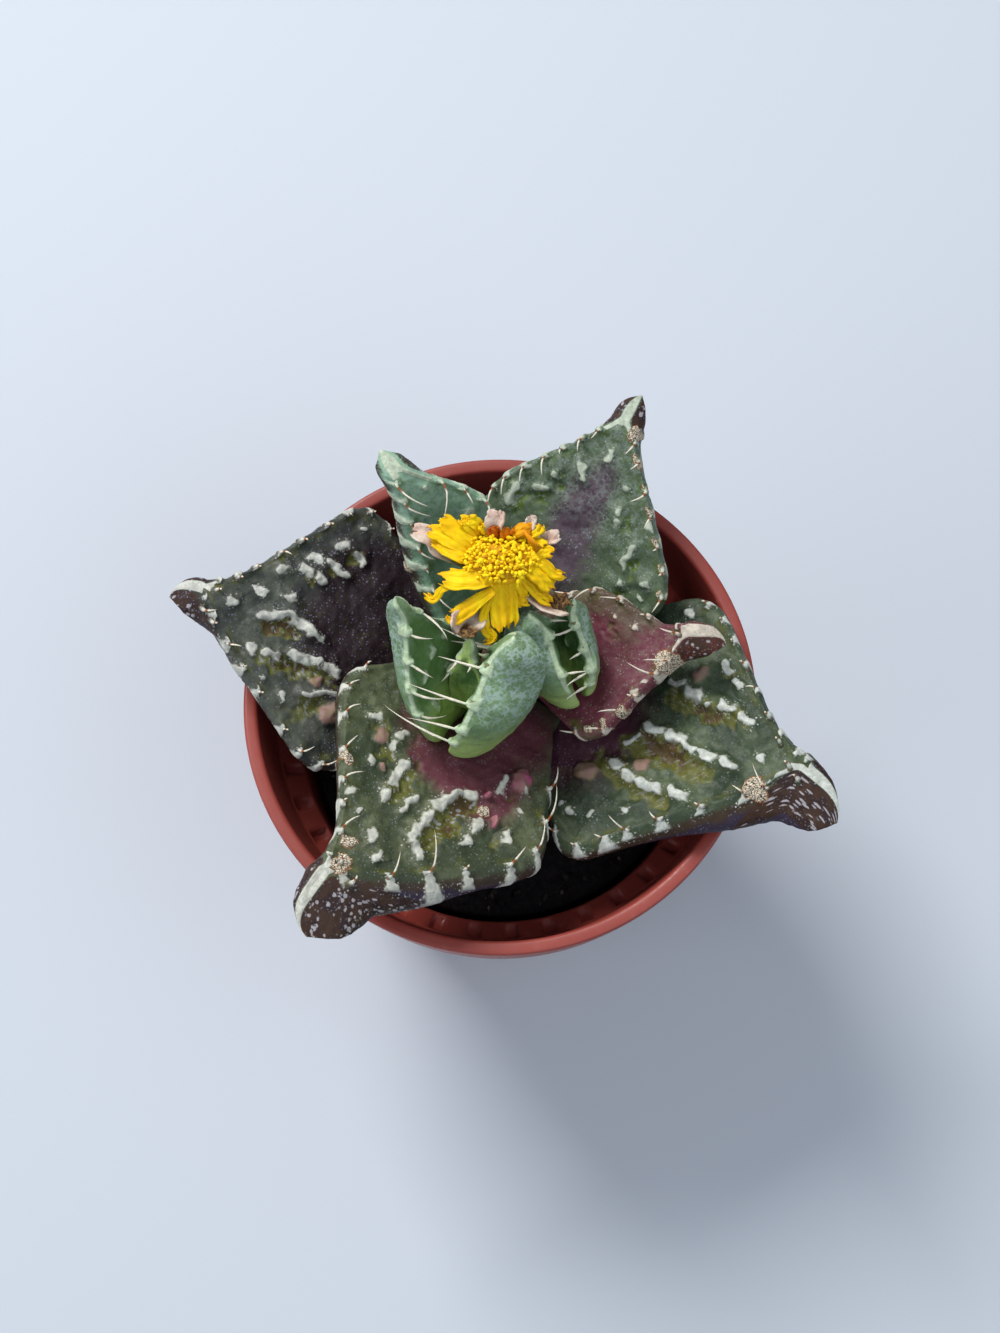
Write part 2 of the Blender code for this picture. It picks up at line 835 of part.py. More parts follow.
def make_soil(home):
    """A plug of dark mix that fills the pot up to its lumpy top, with a plain hole for the stem."""
    hole = STEM_RADIUS + GAP
    edge = inner_wall(SOIL_EDGE_HEIGHT - 1.0) - GAP
    foot = inner_wall(POT_FLOOR) - GAP - 0.1
    shift = math.hypot(*STEM_CENTRE)
    rings = 7
    profile = [(0, STEM_FOOT - GAP), (hole, STEM_FOOT - GAP), (hole, SOIL_CROWN_HEIGHT)]
    for i in range(1, rings):
        t = i / rings
        radius = hole + (edge - shift - hole) * t
        profile.append((radius, SOIL_CROWN_HEIGHT + (SOIL_EDGE_HEIGHT - SOIL_CROWN_HEIGHT) * t))
    profile += [(edge, SOIL_EDGE_HEIGHT - 1.0), (foot, POT_FLOOR + GAP), (0, POT_FLOOR + GAP)]
    soil = turned("soil", profile, SOIL_STEPS, home)
    for vertex in soil.data.vertices:
        x, y, z = (value / MM for value in vertex.co)
        radius = math.hypot(x, y)
        inside = 1 - min(1.0, max(0.0, (radius - hole) / (edge - hole)))
        if z > STEM_FOOT - 1 and radius < edge - 0.5:
            vertex.co.x += STEM_CENTRE[0] * MM * inside
            vertex.co.y += STEM_CENTRE[1] * MM * inside
        if z > SOIL_EDGE_HEIGHT - 0.9 and radius > hole + 1:
            lump = noise.noise(Vector((x, y, 0)) * 0.45) + 0.6 * noise.noise(Vector((x, y, 9)) * 1.3)
            vertex.co.z += SOIL_LUMP * lump * MM
    finish(soil, (0.012, 0.011, 0.016), 0.95)


def flower_matrix():
    return Matrix.Translation(FLOWER_CENTRE) @ Matrix.Rotation(-math.radians(FLOWER_LEAN), 4, "X")


def blade(row, root_radius, root_height, arch, thickness, home, grow=0.0):
    """A strap that leaves the flower's side, arches over and ends in a blunt point."""
    direction, reach, half_width, end_rise = row
    angle = math.radians(direction)
    out = Vector((math.cos(angle), math.sin(angle), 0))
    start = flower_matrix() @ Vector((root_radius * out.x, root_radius * out.y, root_height))
    end = Vector(FLOWER_CENTRE) + out * (reach + grow) + Vector((0, 0, end_rise))
    ahead = (end - start).normalized()
    side = ahead.cross(Vector((0, 0, 1))).normalized()
    over = side.cross(ahead).normalized()
    shares = (0.8, 1.0, 1.0, 0.7)
    rings = []
    for i, share in enumerate(shares):
        t = i / len(shares)
        middle = start.lerp(end, t) + Vector((0, 0, arch * 4 * t * (1 - t)))
        wide = side * (half_width * share + grow)
        thick = over * (thickness / 2 + grow)
        rings.append([middle + wide + thick, middle - wide + thick, middle - wide - thick, middle + wide - thick])
    return loft("blade", rings, home, tip=end)


def dome(name, home, grow=0.0):
    """The rounded body of the flower's middle, flat underneath."""
    built = bmesh.new()
    bmesh.ops.create_uvsphere(built, u_segments=16, v_segments=8, radius=1.0)
    everything = list(built.verts) + list(built.edges) + list(built.faces)
    bmesh.ops.bisect_plane(built, geom=everything, plane_co=(0, 0, 0), plane_no=(0, 0, -1), clear_outer=True)
    bmesh.ops.holes_fill(built, edges=built.edges, sides=0)
    size = Matrix.Diagonal((DOME[0] + grow, DOME[1] + grow, DOME[2] + 2.4 * grow, 1))
    place = Matrix.Scale(MM, 4) @ flower_matrix() @ Matrix.Translation((0, 0, DOME_BASE - grow)) @ size
    bmesh.ops.transform(built, matrix=place, verts=built.verts)
    mesh = bpy.data.meshes.new(name)
    built.to_mesh(mesh)
    built.free()
    made = bpy.data.objects.new(name, mesh)
    home.objects.link(made)
    return made


def flower_disc(name, home, grow=0.0):
    disc = cylinder(name, CUP_RADIUS + 0.3 + grow, DISC_BOTTOM - grow, DISC_TOP + grow, 20, home)
    disc.data.transform(Matrix.Scale(MM, 4) @ flower_matrix() @ Matrix.Scale(1 / MM, 4))
    return disc


def petal_blades(home, grow=0.0):
    for row in PETALS:
        blade(row, CUP_RADIUS - 0.6, (DISC_TOP + DISC_BOTTOM) / 2, 0.5, PETAL_THICKNESS, home, grow)


def make_calyx(home, extras, cutters):
    """The stalk with its cup and the dry sepals round it."""
    axis = (flower_matrix().to_3x3() @ Vector((0, 0, 1))).normalized()
    centre = Vector(FLOWER_CENTRE)
    foot = Vector((STEM_CENTRE[0], STEM_CENTRE[1] + 0.4, STEM_TOP + GAP))
    cup_foot = centre + axis * CUP_BOTTOM
    path = [foot, foot + Vector((0, 0, 1.2))]
    path += [path[1].lerp(cup_foot, t) for t in (0.3, 0.6, 0.85)]
    path += [cup_foot, centre + axis * (CUP_BOTTOM + 1.6), centre + axis * CUP_TOP]
    radii = [1.7, 1.6, STALK_RADIUS, STALK_RADIUS, 1.5, 1.9, CUP_RADIUS, CUP_RADIUS + 0.2]
    calyx = loft("flower_calyx", tube_rings(path, radii, 10, up=Vector((1, 0, 0))), home)
    for row in SEPALS:
        blade(row, CUP_RADIUS - 0.7, CUP_TOP - 1.0, -0.6, SEPAL_THICKNESS, extras)
    combine(calyx, extras, "UNION")
    petal_blades(cutters, GAP)
    flower_disc("disc_clearance", cutters, GAP)
    dome("dome_clearance", cutters, STAMEN_RADIUS + GAP)
    combine(calyx, cutters, "DIFFERENCE")
    keep_largest(calyx)
    finish(calyx, (0.42, 0.30, 0.22), 0.7)


def make_petals(home, extras, cutters):
    """Withered straps on a disc, trimmed round the stamens."""
    petals = flower_disc("flower_petals", home)
    petal_blades(extras)
    combine(petals, extras, "UNION")
    dome("dome_clearance", cutters, STAMEN_RADIUS + GAP)
    combine(petals, cutters, "DIFFERENCE")
    keep_largest(petals)
    finish(petals, (0.85, 0.48, 0.01), 0.55)


def make_stamens(home, extras):
    """A dome set with the round heads of the stamens."""
    stamens = dome("flower_stamens", home)
    golden = math.pi * (3 - math.sqrt(5))
    for i in range(STAMENS):
        share = math.sqrt((i + 0.5) / STAMENS) * 0.95
        height = math.sqrt(1 - share**2)
        spot = Vector((share * math.cos(golden * i), share * math.sin(golden * i), height))
        middle = Vector((0, 0, DOME_BASE + 0.12)) + Vector(a * b for a, b in zip(spot, DOME))
        built = bmesh.new()
        bmesh.ops.create_icosphere(built, subdivisions=1, radius=STAMEN_RADIUS)
        place = Matrix.Translation(flower_matrix() @ middle) @ Matrix.Rotation(i, 4, "Z")
        bmesh.ops.transform(built, matrix=Matrix.Scale(MM, 4) @ place, verts=built.verts)
        mesh = bpy.data.meshes.new("stamen")
        built.to_mesh(mesh)
        built.free()
        extras.objects.link(bpy.data.objects.new("stamen", mesh))
    combine(stamens, extras, "UNION")
    finish(stamens, (0.80, 0.52, 0.02), 0.6)


def near(one, other):
    """Whether the boxes of two objects come within the gap of each other."""
    corners = []
    for thing in (one, other):
        points = np.array([tuple(vertex.co) for vertex in thing.data.vertices])
        corners.append((points.min(axis=0) - GAP * MM, points.max(axis=0) + GAP * MM))
    (low_a, high_a), (low_b, high_b) = corners
    return bool((low_a < high_b).all() and (low_b < high_a).all())


def make_plant(home, extras, cutters):
    """The stem and the leaves, from the innermost pair out: each leaf is cut clear of those inside it."""
    stem = cylinder("stem", STEM_RADIUS, STEM_FOOT, STEM_TOP, 20, home, STEM_CENTRE)
    finish(stem, (0.16, 0.12, 0.07), 0.8)
    inner = {}
    for name, leaf in LEAVES.items():
        made = leaf_body(name, leaf, home)
        leaf_teeth(name, leaf, extras)
        leaf_bumps(name, leaf, extras)
        combine(made, extras, "UNION")
        cylinder("stem_clearance", STEM_RADIUS + GAP, STEM_FOOT, STEM_TOP + GAP, 20, cutters, STEM_CENTRE)
        for other, other_leaf in inner.items():
            if near(made, bpy.data.objects[other]):
                grown_leaf(f"{other}_clearance", other_leaf, cutters)
        combine(made, cutters, "DIFFERENCE")
        keep_largest(made)
        finish(made, leaf.colour, 0.5)
        inner[name] = leaf


def main():
    remove_objects(bpy.data.objects)
    home = collection("potted_tiger_jaws")
    extras = collection("joined_repeats")
    cutters = collection("cutters")
    cutters.hide_render = True
    make_pot(home, cutters)
    make_soil(home)
    make_stamens(home, extras)
    make_petals(home, extras, cutters)
    make_calyx(home, extras, cutters)
    make_plant(home, extras, cutters)


main()
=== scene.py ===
# Potted tiger jaws, dressed for the render. Lengths are in millimetres until a mesh is finished, angles in degrees.
import math
import random

import bmesh
import bpy
import numpy as np
from mathutils import Matrix, Vector


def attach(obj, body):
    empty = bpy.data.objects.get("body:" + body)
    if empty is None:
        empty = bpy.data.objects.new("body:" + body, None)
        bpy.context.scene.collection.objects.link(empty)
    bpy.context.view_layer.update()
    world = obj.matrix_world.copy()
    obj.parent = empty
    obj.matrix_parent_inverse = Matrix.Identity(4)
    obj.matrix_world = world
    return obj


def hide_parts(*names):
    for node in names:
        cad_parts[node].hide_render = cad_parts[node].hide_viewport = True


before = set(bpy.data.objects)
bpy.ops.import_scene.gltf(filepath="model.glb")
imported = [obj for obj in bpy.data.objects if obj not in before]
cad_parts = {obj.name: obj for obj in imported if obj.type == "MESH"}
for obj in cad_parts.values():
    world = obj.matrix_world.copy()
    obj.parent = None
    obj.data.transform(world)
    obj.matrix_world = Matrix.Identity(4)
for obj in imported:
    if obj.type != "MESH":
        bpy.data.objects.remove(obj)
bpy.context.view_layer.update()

mm = 0.001
scene = bpy.context.scene

# camera and studio
view = {"distance": 230.0, "lean": 15.8, "lens": 57.8, "aim": (0.0, 3.6, 48.0), "clip": 0.01}
lamps = {
    "window": {"place": (-0.30, 0.40, 0.60), "size": 0.30, "watts": 6.6, "tint": (1.0, 0.98, 0.95)},
    "sky": {"place": (0.35, -0.25, 0.70), "size": 0.70, "watts": 2.4, "tint": (0.88, 0.94, 1.0)},
    "side": {"place": (-0.55, -0.20, 0.30), "size": 0.40, "watts": 1.2, "tint": (0.90, 0.94, 1.0)},
}
studio = {"air": (0.80, 0.86, 0.95, 1), "strength": 0.36, "floor": (0.46, 0.50, 0.56, 1), "floorHalf": 3.0}

lean = math.radians(view["lean"])
aim = Vector(view["aim"]) * mm
camera = bpy.data.objects.new("camera", bpy.data.cameras.new("camera"))
camera.data.lens = view["lens"]
camera.data.clip_start = view["clip"]
camera.location = aim + view["distance"] * mm * Vector((0, -math.sin(lean), math.cos(lean)))
camera.rotation_euler = (aim - camera.location).to_track_quat("-Z", "Y").to_euler()
scene.collection.objects.link(camera)
scene.camera = camera
scene.view_settings.view_transform = "Standard"

for name, lamp in lamps.items():
    light = bpy.data.lights.new(name, "AREA")
    light.energy = lamp["watts"]
    light.size = lamp["size"]
    light.color = lamp["tint"]
    holder = bpy.data.objects.new(name, light)
    holder.location = lamp["place"]
    holder.rotation_euler = (aim - holder.location).to_track_quat("-Z", "Y").to_euler()
    scene.collection.objects.link(holder)
world = bpy.data.worlds.new("studio")
world.use_nodes = True
world.node_tree.nodes["Background"].inputs["Color"].default_value = studio["air"]
world.node_tree.nodes["Background"].inputs["Strength"].default_value = studio["strength"]
scene.world = world
print("camera and light ready")


def newMaterial(name, rough=0.5, specular=0.5):
    made = bpy.data.materials.new(name)
    made.use_nodes = True
    shader = made.node_tree.nodes["Principled BSDF"]
    shader.inputs["Roughness"].default_value = rough
    shader.inputs["Specular IOR Level"].default_value = specular
    return made, made.node_tree, shader


def plug(tree, socket, value):
    # a socket takes a link, a colour or a number
    if isinstance(value, bpy.types.NodeSocket):
        tree.links.new(value, socket)
    elif hasattr(value, "__len__") and len(value) == 3 and socket.type == "RGBA":
        socket.default_value = (*value, 1)
    else:
        socket.default_value = value


def mixed(tree, factor, first, second):
    node = tree.nodes.new("ShaderNodeMix")
    node.data_type = "RGBA"
    plug(tree, node.inputs[0], factor)
    plug(tree, node.inputs[6], first)
    plug(tree, node.inputs[7], second)
    return node.outputs[2]


def sums(tree, how, first, second=0.0, third=None):
    node = tree.nodes.new("ShaderNodeMath")
    node.operation = how
    plug(tree, node.inputs[0], first)
    plug(tree, node.inputs[1], second)
    if third is not None:
        plug(tree, node.inputs[2], third)
    return node.outputs[0]


def added(tree, value, extra, share):
    return sums(tree, "MULTIPLY_ADD", extra, share, value)


def product(tree, first, second):
    return sums(tree, "MULTIPLY", first, second)


def ramp(tree, value, low, high, fromValue=0.0, toValue=1.0):
    node = tree.nodes.new("ShaderNodeMapRange")
    node.interpolation_type = "SMOOTHSTEP"
    for index, item in enumerate((value, low, high, fromValue, toValue)):
        plug(tree, node.inputs[index], item)
    return node.outputs[0]


def here(tree, stretch=None):
    spot = tree.nodes.new("ShaderNodeTexCoord").outputs["Object"]
    if stretch is None:
        return spot
    node = tree.nodes.new("ShaderNodeMapping")
    plug(tree, node.inputs[0], spot)
    node.inputs["Scale"].default_value = stretch
    return node.outputs[0]


def cloud(tree, spot, size, detail=3.0, rough=0.55):
    node = tree.nodes.new("ShaderNodeTexNoise")
    plug(tree, node.inputs["Vector"], spot)
    node.inputs["Scale"].default_value = 1 / (size * mm)
    node.inputs["Detail"].default_value = detail
    node.inputs["Roughness"].default_value = rough
    return node.outputs["Fac"]


def cells(tree, spot, size, feature="F1"):
    node = tree.nodes.new("ShaderNodeTexVoronoi")
    node.feature = feature
    plug(tree, node.inputs["Vector"], spot)
    node.inputs["Scale"].default_value = 1 / (size * mm)
    return node.outputs["Distance"]


def field(tree, name):
    node = tree.nodes.new("ShaderNodeAttribute")
    node.attribute_name = name
    return node.outputs["Fac"]


def bumped(tree, shader, height, reach, strength=1.0):
    node = tree.nodes.new("ShaderNodeBump")
    node.inputs["Distance"].default_value = reach * mm
    node.inputs["Strength"].default_value = strength
    plug(tree, node.inputs["Height"], height)
    plug(tree, shader.inputs["Normal"], node.outputs[0])


def translucent(shader, weight, reach):
    # reach is how many millimetres red, green and blue light run under the skin
    shader.inputs["Subsurface Weight"].default_value = weight
    shader.inputs["Subsurface Radius"].default_value = reach
    shader.inputs["Subsurface Scale"].default_value = mm


def dress(piece, skin):
    piece.data.materials.clear()
    piece.data.materials.append(skin)
    return piece


def place(name, mesh, nodes):
    piece = bpy.data.objects.new(name, mesh)
    scene.collection.objects.link(piece)
    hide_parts(*nodes)
    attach(piece, "root")
    return piece


def finishMesh(bm, name):
    bmesh.ops.scale(bm, vec=(mm, mm, mm), verts=bm.verts)
    for face in bm.faces:
        face.smooth = True
    mesh = bpy.data.meshes.new(name)
    bm.to_mesh(mesh)
    bm.free()
    return mesh


def wobble(x, y, seed, size):
    # smooth wandering between about -1 and 1 over the plane
    total = 0
    for k in range(5):
        turn = seed * 1.7 + k * 2.4
        speed = (1 + 0.37 * k) * 2 * math.pi / size
        total = total + np.sin(speed * (x * math.cos(turn) + y * math.sin(turn)) + seed * 5.1 + k * 1.9)
    return total / 2.8


# leaf skins: old leaves are dark olive with white warts, young ones bluish green with soft pale marks
skinShared = {
    "speck": 0.45, "net": 0.0, "lanes": (1.0, 1.0), "lowDots": 0.7, "tipDots": 0.82, "burntAndShade": 0.85, "crumbs": 0.8,
    "soft": (-0.08, 0.40), "fleck": (0.26, 0.29, 0.36), "lowDot": (0.26, 0.27, 0.28), "tipDot": (0.36, 0.34, 0.36),
    # olive and brown colour the painted shade below folds and in hollows, partly the leaf's own tint
    "olive": (0.098, 0.102, 0.018), "brown": (0.062, 0.033, 0.012), "bark": (0.034, 0.018, 0.010),
    # bark and violet are darkened as painted shade, and violet is partly a painted bluish reflection
    "violetAndReflection": (0.026, 0.014, 0.036), "tipGold": (0.038, 0.017, 0.009), "tipFace": (0.020, 0.008, 0.008),
    "pink": (0.235, 0.130, 0.125), "tan": (0.20, 0.148, 0.085), "rose": (0.34, 0.050, 0.150),
    "dullRose": (0.27, 0.13, 0.125), "cork": (0.62, 0.53, 0.40), "crack": (0.012, 0.009, 0.012),
    "corkEdge": (0.26, 0.105, 0.030), "bone": (0.70, 0.65, 0.54), "root": (0.28, 0.085, 0.022),
    "point": (0.28, 0.085, 0.022),
}
skins = {
    "front": {
        "green": (0.098, 0.115, 0.060), "shade": (0.032, 0.044, 0.022), "crest": (0.140, 0.150, 0.080),
        "blush": (0.100, 0.030, 0.040), "wart": (0.56, 0.57, 0.50),
    },
    "right": {
        "green": (0.078, 0.105, 0.056), "shade": (0.022, 0.037, 0.019), "crest": (0.105, 0.130, 0.068),
        "blush": (0.060, 0.018, 0.032), "wart": (0.57, 0.60, 0.55), "lanes": (0.5, 1.7), "lowDots": 0.3,
    },
    "left": {
        "green": (0.078, 0.088, 0.066), "shade": (0.026, 0.031, 0.027), "crest": (0.110, 0.118, 0.102),
        "blush": (0.020, 0.011, 0.014), "speck": 0.65, "wart": (0.54, 0.55, 0.50), "fleck": (0.22, 0.22, 0.34),
    },
    "back": {
        "green": (0.090, 0.128, 0.075), "shade": (0.055, 0.086, 0.043), "crest": (0.140, 0.178, 0.130),
        "blush": (0.066, 0.043, 0.060), "speck": 0.7, "net": 0.35, "web": (0.20, 0.25, 0.23),
        "olive": (0.075, 0.125, 0.014), "burntAndShade": 0.0, "wart": (0.46, 0.52, 0.42),
    },
    "innerBack": {
        "green": (0.245, 0.400, 0.275), "shade": (0.155, 0.275, 0.175), "crest": (0.22, 0.35, 0.23),
        "blush": (0.090, 0.038, 0.045), "speck": 0.6, "net": 0.45, "web": (0.30, 0.42, 0.36),
        "olive": (0.090, 0.165, 0.025), "burntAndShade": 0.0, "wart": (0.52, 0.60, 0.46),
    },
    "innerRight": {
        "green": (0.135, 0.120, 0.070), "shade": (0.085, 0.052, 0.038), "crest": (0.16, 0.130, 0.085),
        "blush": (0.122, 0.028, 0.044), "speck": 0.7, "net": 0.2, "web": (0.17, 0.18, 0.13),
        "wart": (0.60, 0.54, 0.45), "fleck": (0.30, 0.30, 0.26), "tipFace": (0.075, 0.018, 0.012),
    },
    # a shoot's olive is a deeper green, painted as shade over its inner face and round the tooth feet
    "shoot": {
        "green": (0.180, 0.290, 0.155), "shade": (0.110, 0.185, 0.085), "crest": (0.27, 0.40, 0.24),
        "blush": (0.33, 0.46, 0.140), "speck": 0.2, "net": 0.75, "web": (0.31, 0.41, 0.38),
        "olive": (0.085, 0.175, 0.050), "burntAndShade": 0.0, "wart": (0.48, 0.60, 0.40), "lowDots": 0.0,
        "root": (0.56, 0.58, 0.42), "soft": (-0.05, 0.55), "tipDots": 0.0, "point": (0.58, 0.48, 0.40), "crumbs": 0.0,
    },
}


def darker(colour, share):
    return tuple(share * c for c in colour)


def leafSkin(name, own):
    tone = {**skinShared, **own}
    made, tree, shader = newMaterial(name, rough=0.55, specular=0.26)
    spot = here(tree)
    broad = cloud(tree, spot, 5.0, 3)
    patchy = cloud(tree, spot, 1.9, 4, 0.6)
    fine = cloud(tree, spot, 0.75, 5, 0.65)
    grain = cloud(tree, spot, 0.24, 3, 0.6)
    fineSwing, grainSwing = sums(tree, "SUBTRACT", fine, 0.5), sums(tree, "SUBTRACT", grain, 0.5)
    # low is the painted shade below folds and in hollows, partly the leaf's own olive and brown
    low, tip, flank, pale = field(tree, "shadeAndOlive"), field(tree, "tip"), field(tree, "flank"), field(tree, "pale")
    base = mixed(tree, ramp(tree, broad, 0.36, 0.64), tone["shade"], tone["green"])

    def coat(factor, colour):
        nonlocal base
        base = mixed(tree, factor, base, colour)

    # flesh: light and shade in clouds, dark pores, lighter crests, a blush and a pale net
    coat(ramp(tree, patchy, 0.46, 0.66, 0.0, 0.8), tone["shade"])
    coat(ramp(tree, fine, 0.36, 0.70, 0.0, 0.55), tone["shade"])
    pores = added(tree, cells(tree, spot, 0.62), grain, 0.3)
    coat(ramp(tree, pores, 0.20, 0.34, 0.7, 0.0), darker(tone["shade"], 0.45))
    coat(ramp(tree, field(tree, "hill"), 0.05, 0.6, 0.0, 0.35), tone["crest"])
    blushed = sums(tree, "SUBTRACT", field(tree, "blush"), 0.42)
    blushed = added(tree, blushed, sums(tree, "ADD", fine, patchy), 0.45)
    coat(ramp(tree, blushed, 0.15, 0.75), tone["blush"])
    if tone["net"]:
        veins = added(tree, cells(tree, spot, 0.55, "DISTANCE_TO_EDGE"), fine, 1.6)
        netted = sums(tree, "ADD", patchy, field(tree, "netted"))
        netted = ramp(tree, netted, 0.50, 0.95, 0.0, tone["net"])
        coat(product(tree, ramp(tree, veins, 0.72, 1.08, 1.0, 0.0), netted), tone["web"])
    # the low side of a fold, the hollows, the tooth feet and a shoot's inner face get painted shade: olive, then brown
    # in patches, partly the leaf's own olive and brown
    oliveAndShade = added(tree, added(tree, low, fine, 0.8), patchy, 1.6)
    coat(ramp(tree, oliveAndShade, 1.30, 2.15), tone["olive"])
    coat(ramp(tree, added(tree, low, fine, 1.6), 1.70, 2.10, 0.0, tone["burntAndShade"]), tone["brown"])
    # flanks are the leaf's own bark brown and violet, both darkened as painted shade, the violet partly a painted
    # bluish reflection; brown with pale dots round the tip
    rind = mixed(tree, ramp(tree, added(tree, flank, patchy, 0.8), 1.0, 1.35), tone["bark"], tone["violetAndReflection"])
    coat(ramp(tree, added(tree, flank, fine, 0.5), 0.30, 0.70, 0.0, 0.92), rind)
    face = mixed(tree, ramp(tree, patchy, 0.42, 0.60), tone["tipGold"], tone["tipFace"])
    coat(ramp(tree, added(tree, tip, grain, 0.3), 0.30, 0.50), face)
    # bluish white flecks everywhere, and longer dots on the tip and below the folds
    specks = cells(tree, spot, 0.34)
    fleck = ramp(tree, added(tree, specks, grain, -0.4), -0.12, 0.13, tone["speck"], 0.0)
    coat(product(tree, fleck, ramp(tree, patchy, 0.40, 0.60)), tone["fleck"])
    lanes = tree.nodes.new("ShaderNodeCombineXYZ")
    for index, (key, stretch) in enumerate(zip(("far", "down"), tone["lanes"])):
        plug(tree, lanes.inputs[index], product(tree, field(tree, key), stretch))
    dots = added(tree, cells(tree, lanes.outputs[0], 0.62), patchy, -1.0)
    dots = ramp(tree, added(tree, dots, grain, 0.35), -0.10, 0.05, 1.0, 0.0)
    onTip = ramp(tree, tip, 0.6, 0.9, 0.0, tone["tipDots"])
    onLow = ramp(tree, low, 0.45, 0.8, 0.0, tone["lowDots"])
    dots = product(tree, dots, sums(tree, "MAXIMUM", onTip, onLow))
    coat(dots, mixed(tree, tip, tone["lowDot"], tone["tipDot"]))
    # smooth pink, tan and rosy warts
    wart = mixed(tree, ramp(tree, fine, 0.3, 0.7), tone["pink"], tone["tan"])
    coat(ramp(tree, added(tree, field(tree, "pink"), fineSwing, 0.6), 0.0, 0.35), wart)
    rosy = mixed(tree, ramp(tree, patchy, 0.4, 0.6), tone["rose"], tone["dullRose"])
    coat(ramp(tree, field(tree, "rosy"), 0.0, 0.35), rosy)
    # chalky warts with torn edges and crumbs round them
    torn = sums(tree, "ADD", product(tree, grainSwing, 0.45), product(tree, fineSwing, 0.35))
    chalk = ramp(tree, sums(tree, "ADD", torn, pale), *tone["soft"])
    crumbs = ramp(tree, added(tree, cells(tree, spot, 0.44), grain, -0.45), -0.08, 0.10, 1.0, 0.0)
    crumbs = product(tree, ramp(tree, pale, -0.95, -0.20, 0.0, tone["crumbs"]), crumbs)
    chalk = sums(tree, "MAXIMUM", chalk, crumbs)
    chalkShade = ramp(tree, added(tree, fine, grain, 0.5), 0.5, 0.95)
    coat(chalk, mixed(tree, chalkShade, tone["wart"], darker(tone["wart"], 0.62)))
    # corky scars: straw with dark cracks inside a rusty edge
    scar = field(tree, "scar")
    cracks = cells(tree, here(tree, (1, 1.7, 1.2)), 0.34, "DISTANCE_TO_EDGE")
    cork = mixed(tree, ramp(tree, added(tree, cracks, grain, 0.35), 0.20, 0.30), tone["crack"], tone["cork"])
    cork = mixed(tree, ramp(tree, scar, 0.06, 0.20), tone["corkEdge"], cork)
    scarred = ramp(tree, added(tree, scar, grainSwing, 0.5), 0.0, 0.08)
    coat(scarred, cork)
    # teeth: fleshy foot, rusty root, bone bristle
    bone = field(tree, "bone")
    coat(ramp(tree, bone, 0.02, 0.10), tone["wart"])
    coat(ramp(tree, bone, 0.16, 0.24), tone["root"])
    coat(ramp(tree, bone, 0.32, 0.42), tone["bone"])
    coat(ramp(tree, bone, 0.75, 1.0, 0.0, 0.6), tone["point"])
    plug(tree, shader.inputs["Base Color"], base)
    plug(tree, shader.inputs["Roughness"], ramp(tree, added(tree, fine, chalk, 0.4), 0.3, 1.0, 0.44, 0.72))
    translucent(shader, 0.05, (0.9, 0.6, 0.3))
    pits = added(tree, ramp(tree, specks, 0.0, 0.3, 0.4, 0.0), grain, 0.8)
    pits = added(tree, added(tree, pits, fine, 0.9), chalk, 0.9)
    bumped(tree, shader, added(tree, pits, scarred, ramp(tree, cracks, 0.0, 0.25, -0.6, 0.5)), 0.09, 0.7)
    return made


# Leaves. base is the middle of the root on the upper face, rise, roll and bend lay the leaf over, and left and
# right are (half width, where). Places on a leaf are (share of its length, mm to its left). marks are (radius,
# place, ...), hollows (radius, strength of their painted shade, partly olive and brown, place, ...), ridges (share, mm,
# size, turn), warts and scars (share, mm, size) and blush (share, mm, reach along, reach across, strength). Pairs are
# for the left and the right side.
leafShared = {
    "slot": "leaf_old", "fine": (300, 210), "dish": 0.8, "ridge": 0.42, "lean": 0.0, "drop": 2.5, "low": (0.0, 0.0),
    "flare": (0, 0), "swell": (0, 0), "blunt": (2.4, 2.6), "hook": 0.0, "cheek": 0.25, "heel": 0.0, "ridges": (),
    "hollows": (), "marks": (), "pinks": (), "tans": (), "rosies": (), "scars": (), "corky": 0, "knob": 0.20,
    "edgePale": 1.0, "rim": 0.0, "tipBrown": 1.0, "tipReach": 0.5, "tipRim": 3.8, "lowRim": False, "flankTone": 1.0,
    "flankBlush": 0.5, "flame": (2.2, 2.2), "sweep": (0.85, 0.35, 0.15), "taper": 1.0, "broken": (0.2, 0.2),
}
shootShared = {
    "slot": "leaf_young", "rim": 0.35, "heel": 0.12, "broken": (0.0, 0.0), "taper": 1.6, "flame": (1.0, 1.0),
    "tipBrown": 0.0, "flankTone": 0.0, "flankBlush": 1.0, "edgePale": 0.0, "knob": 0.32,
}
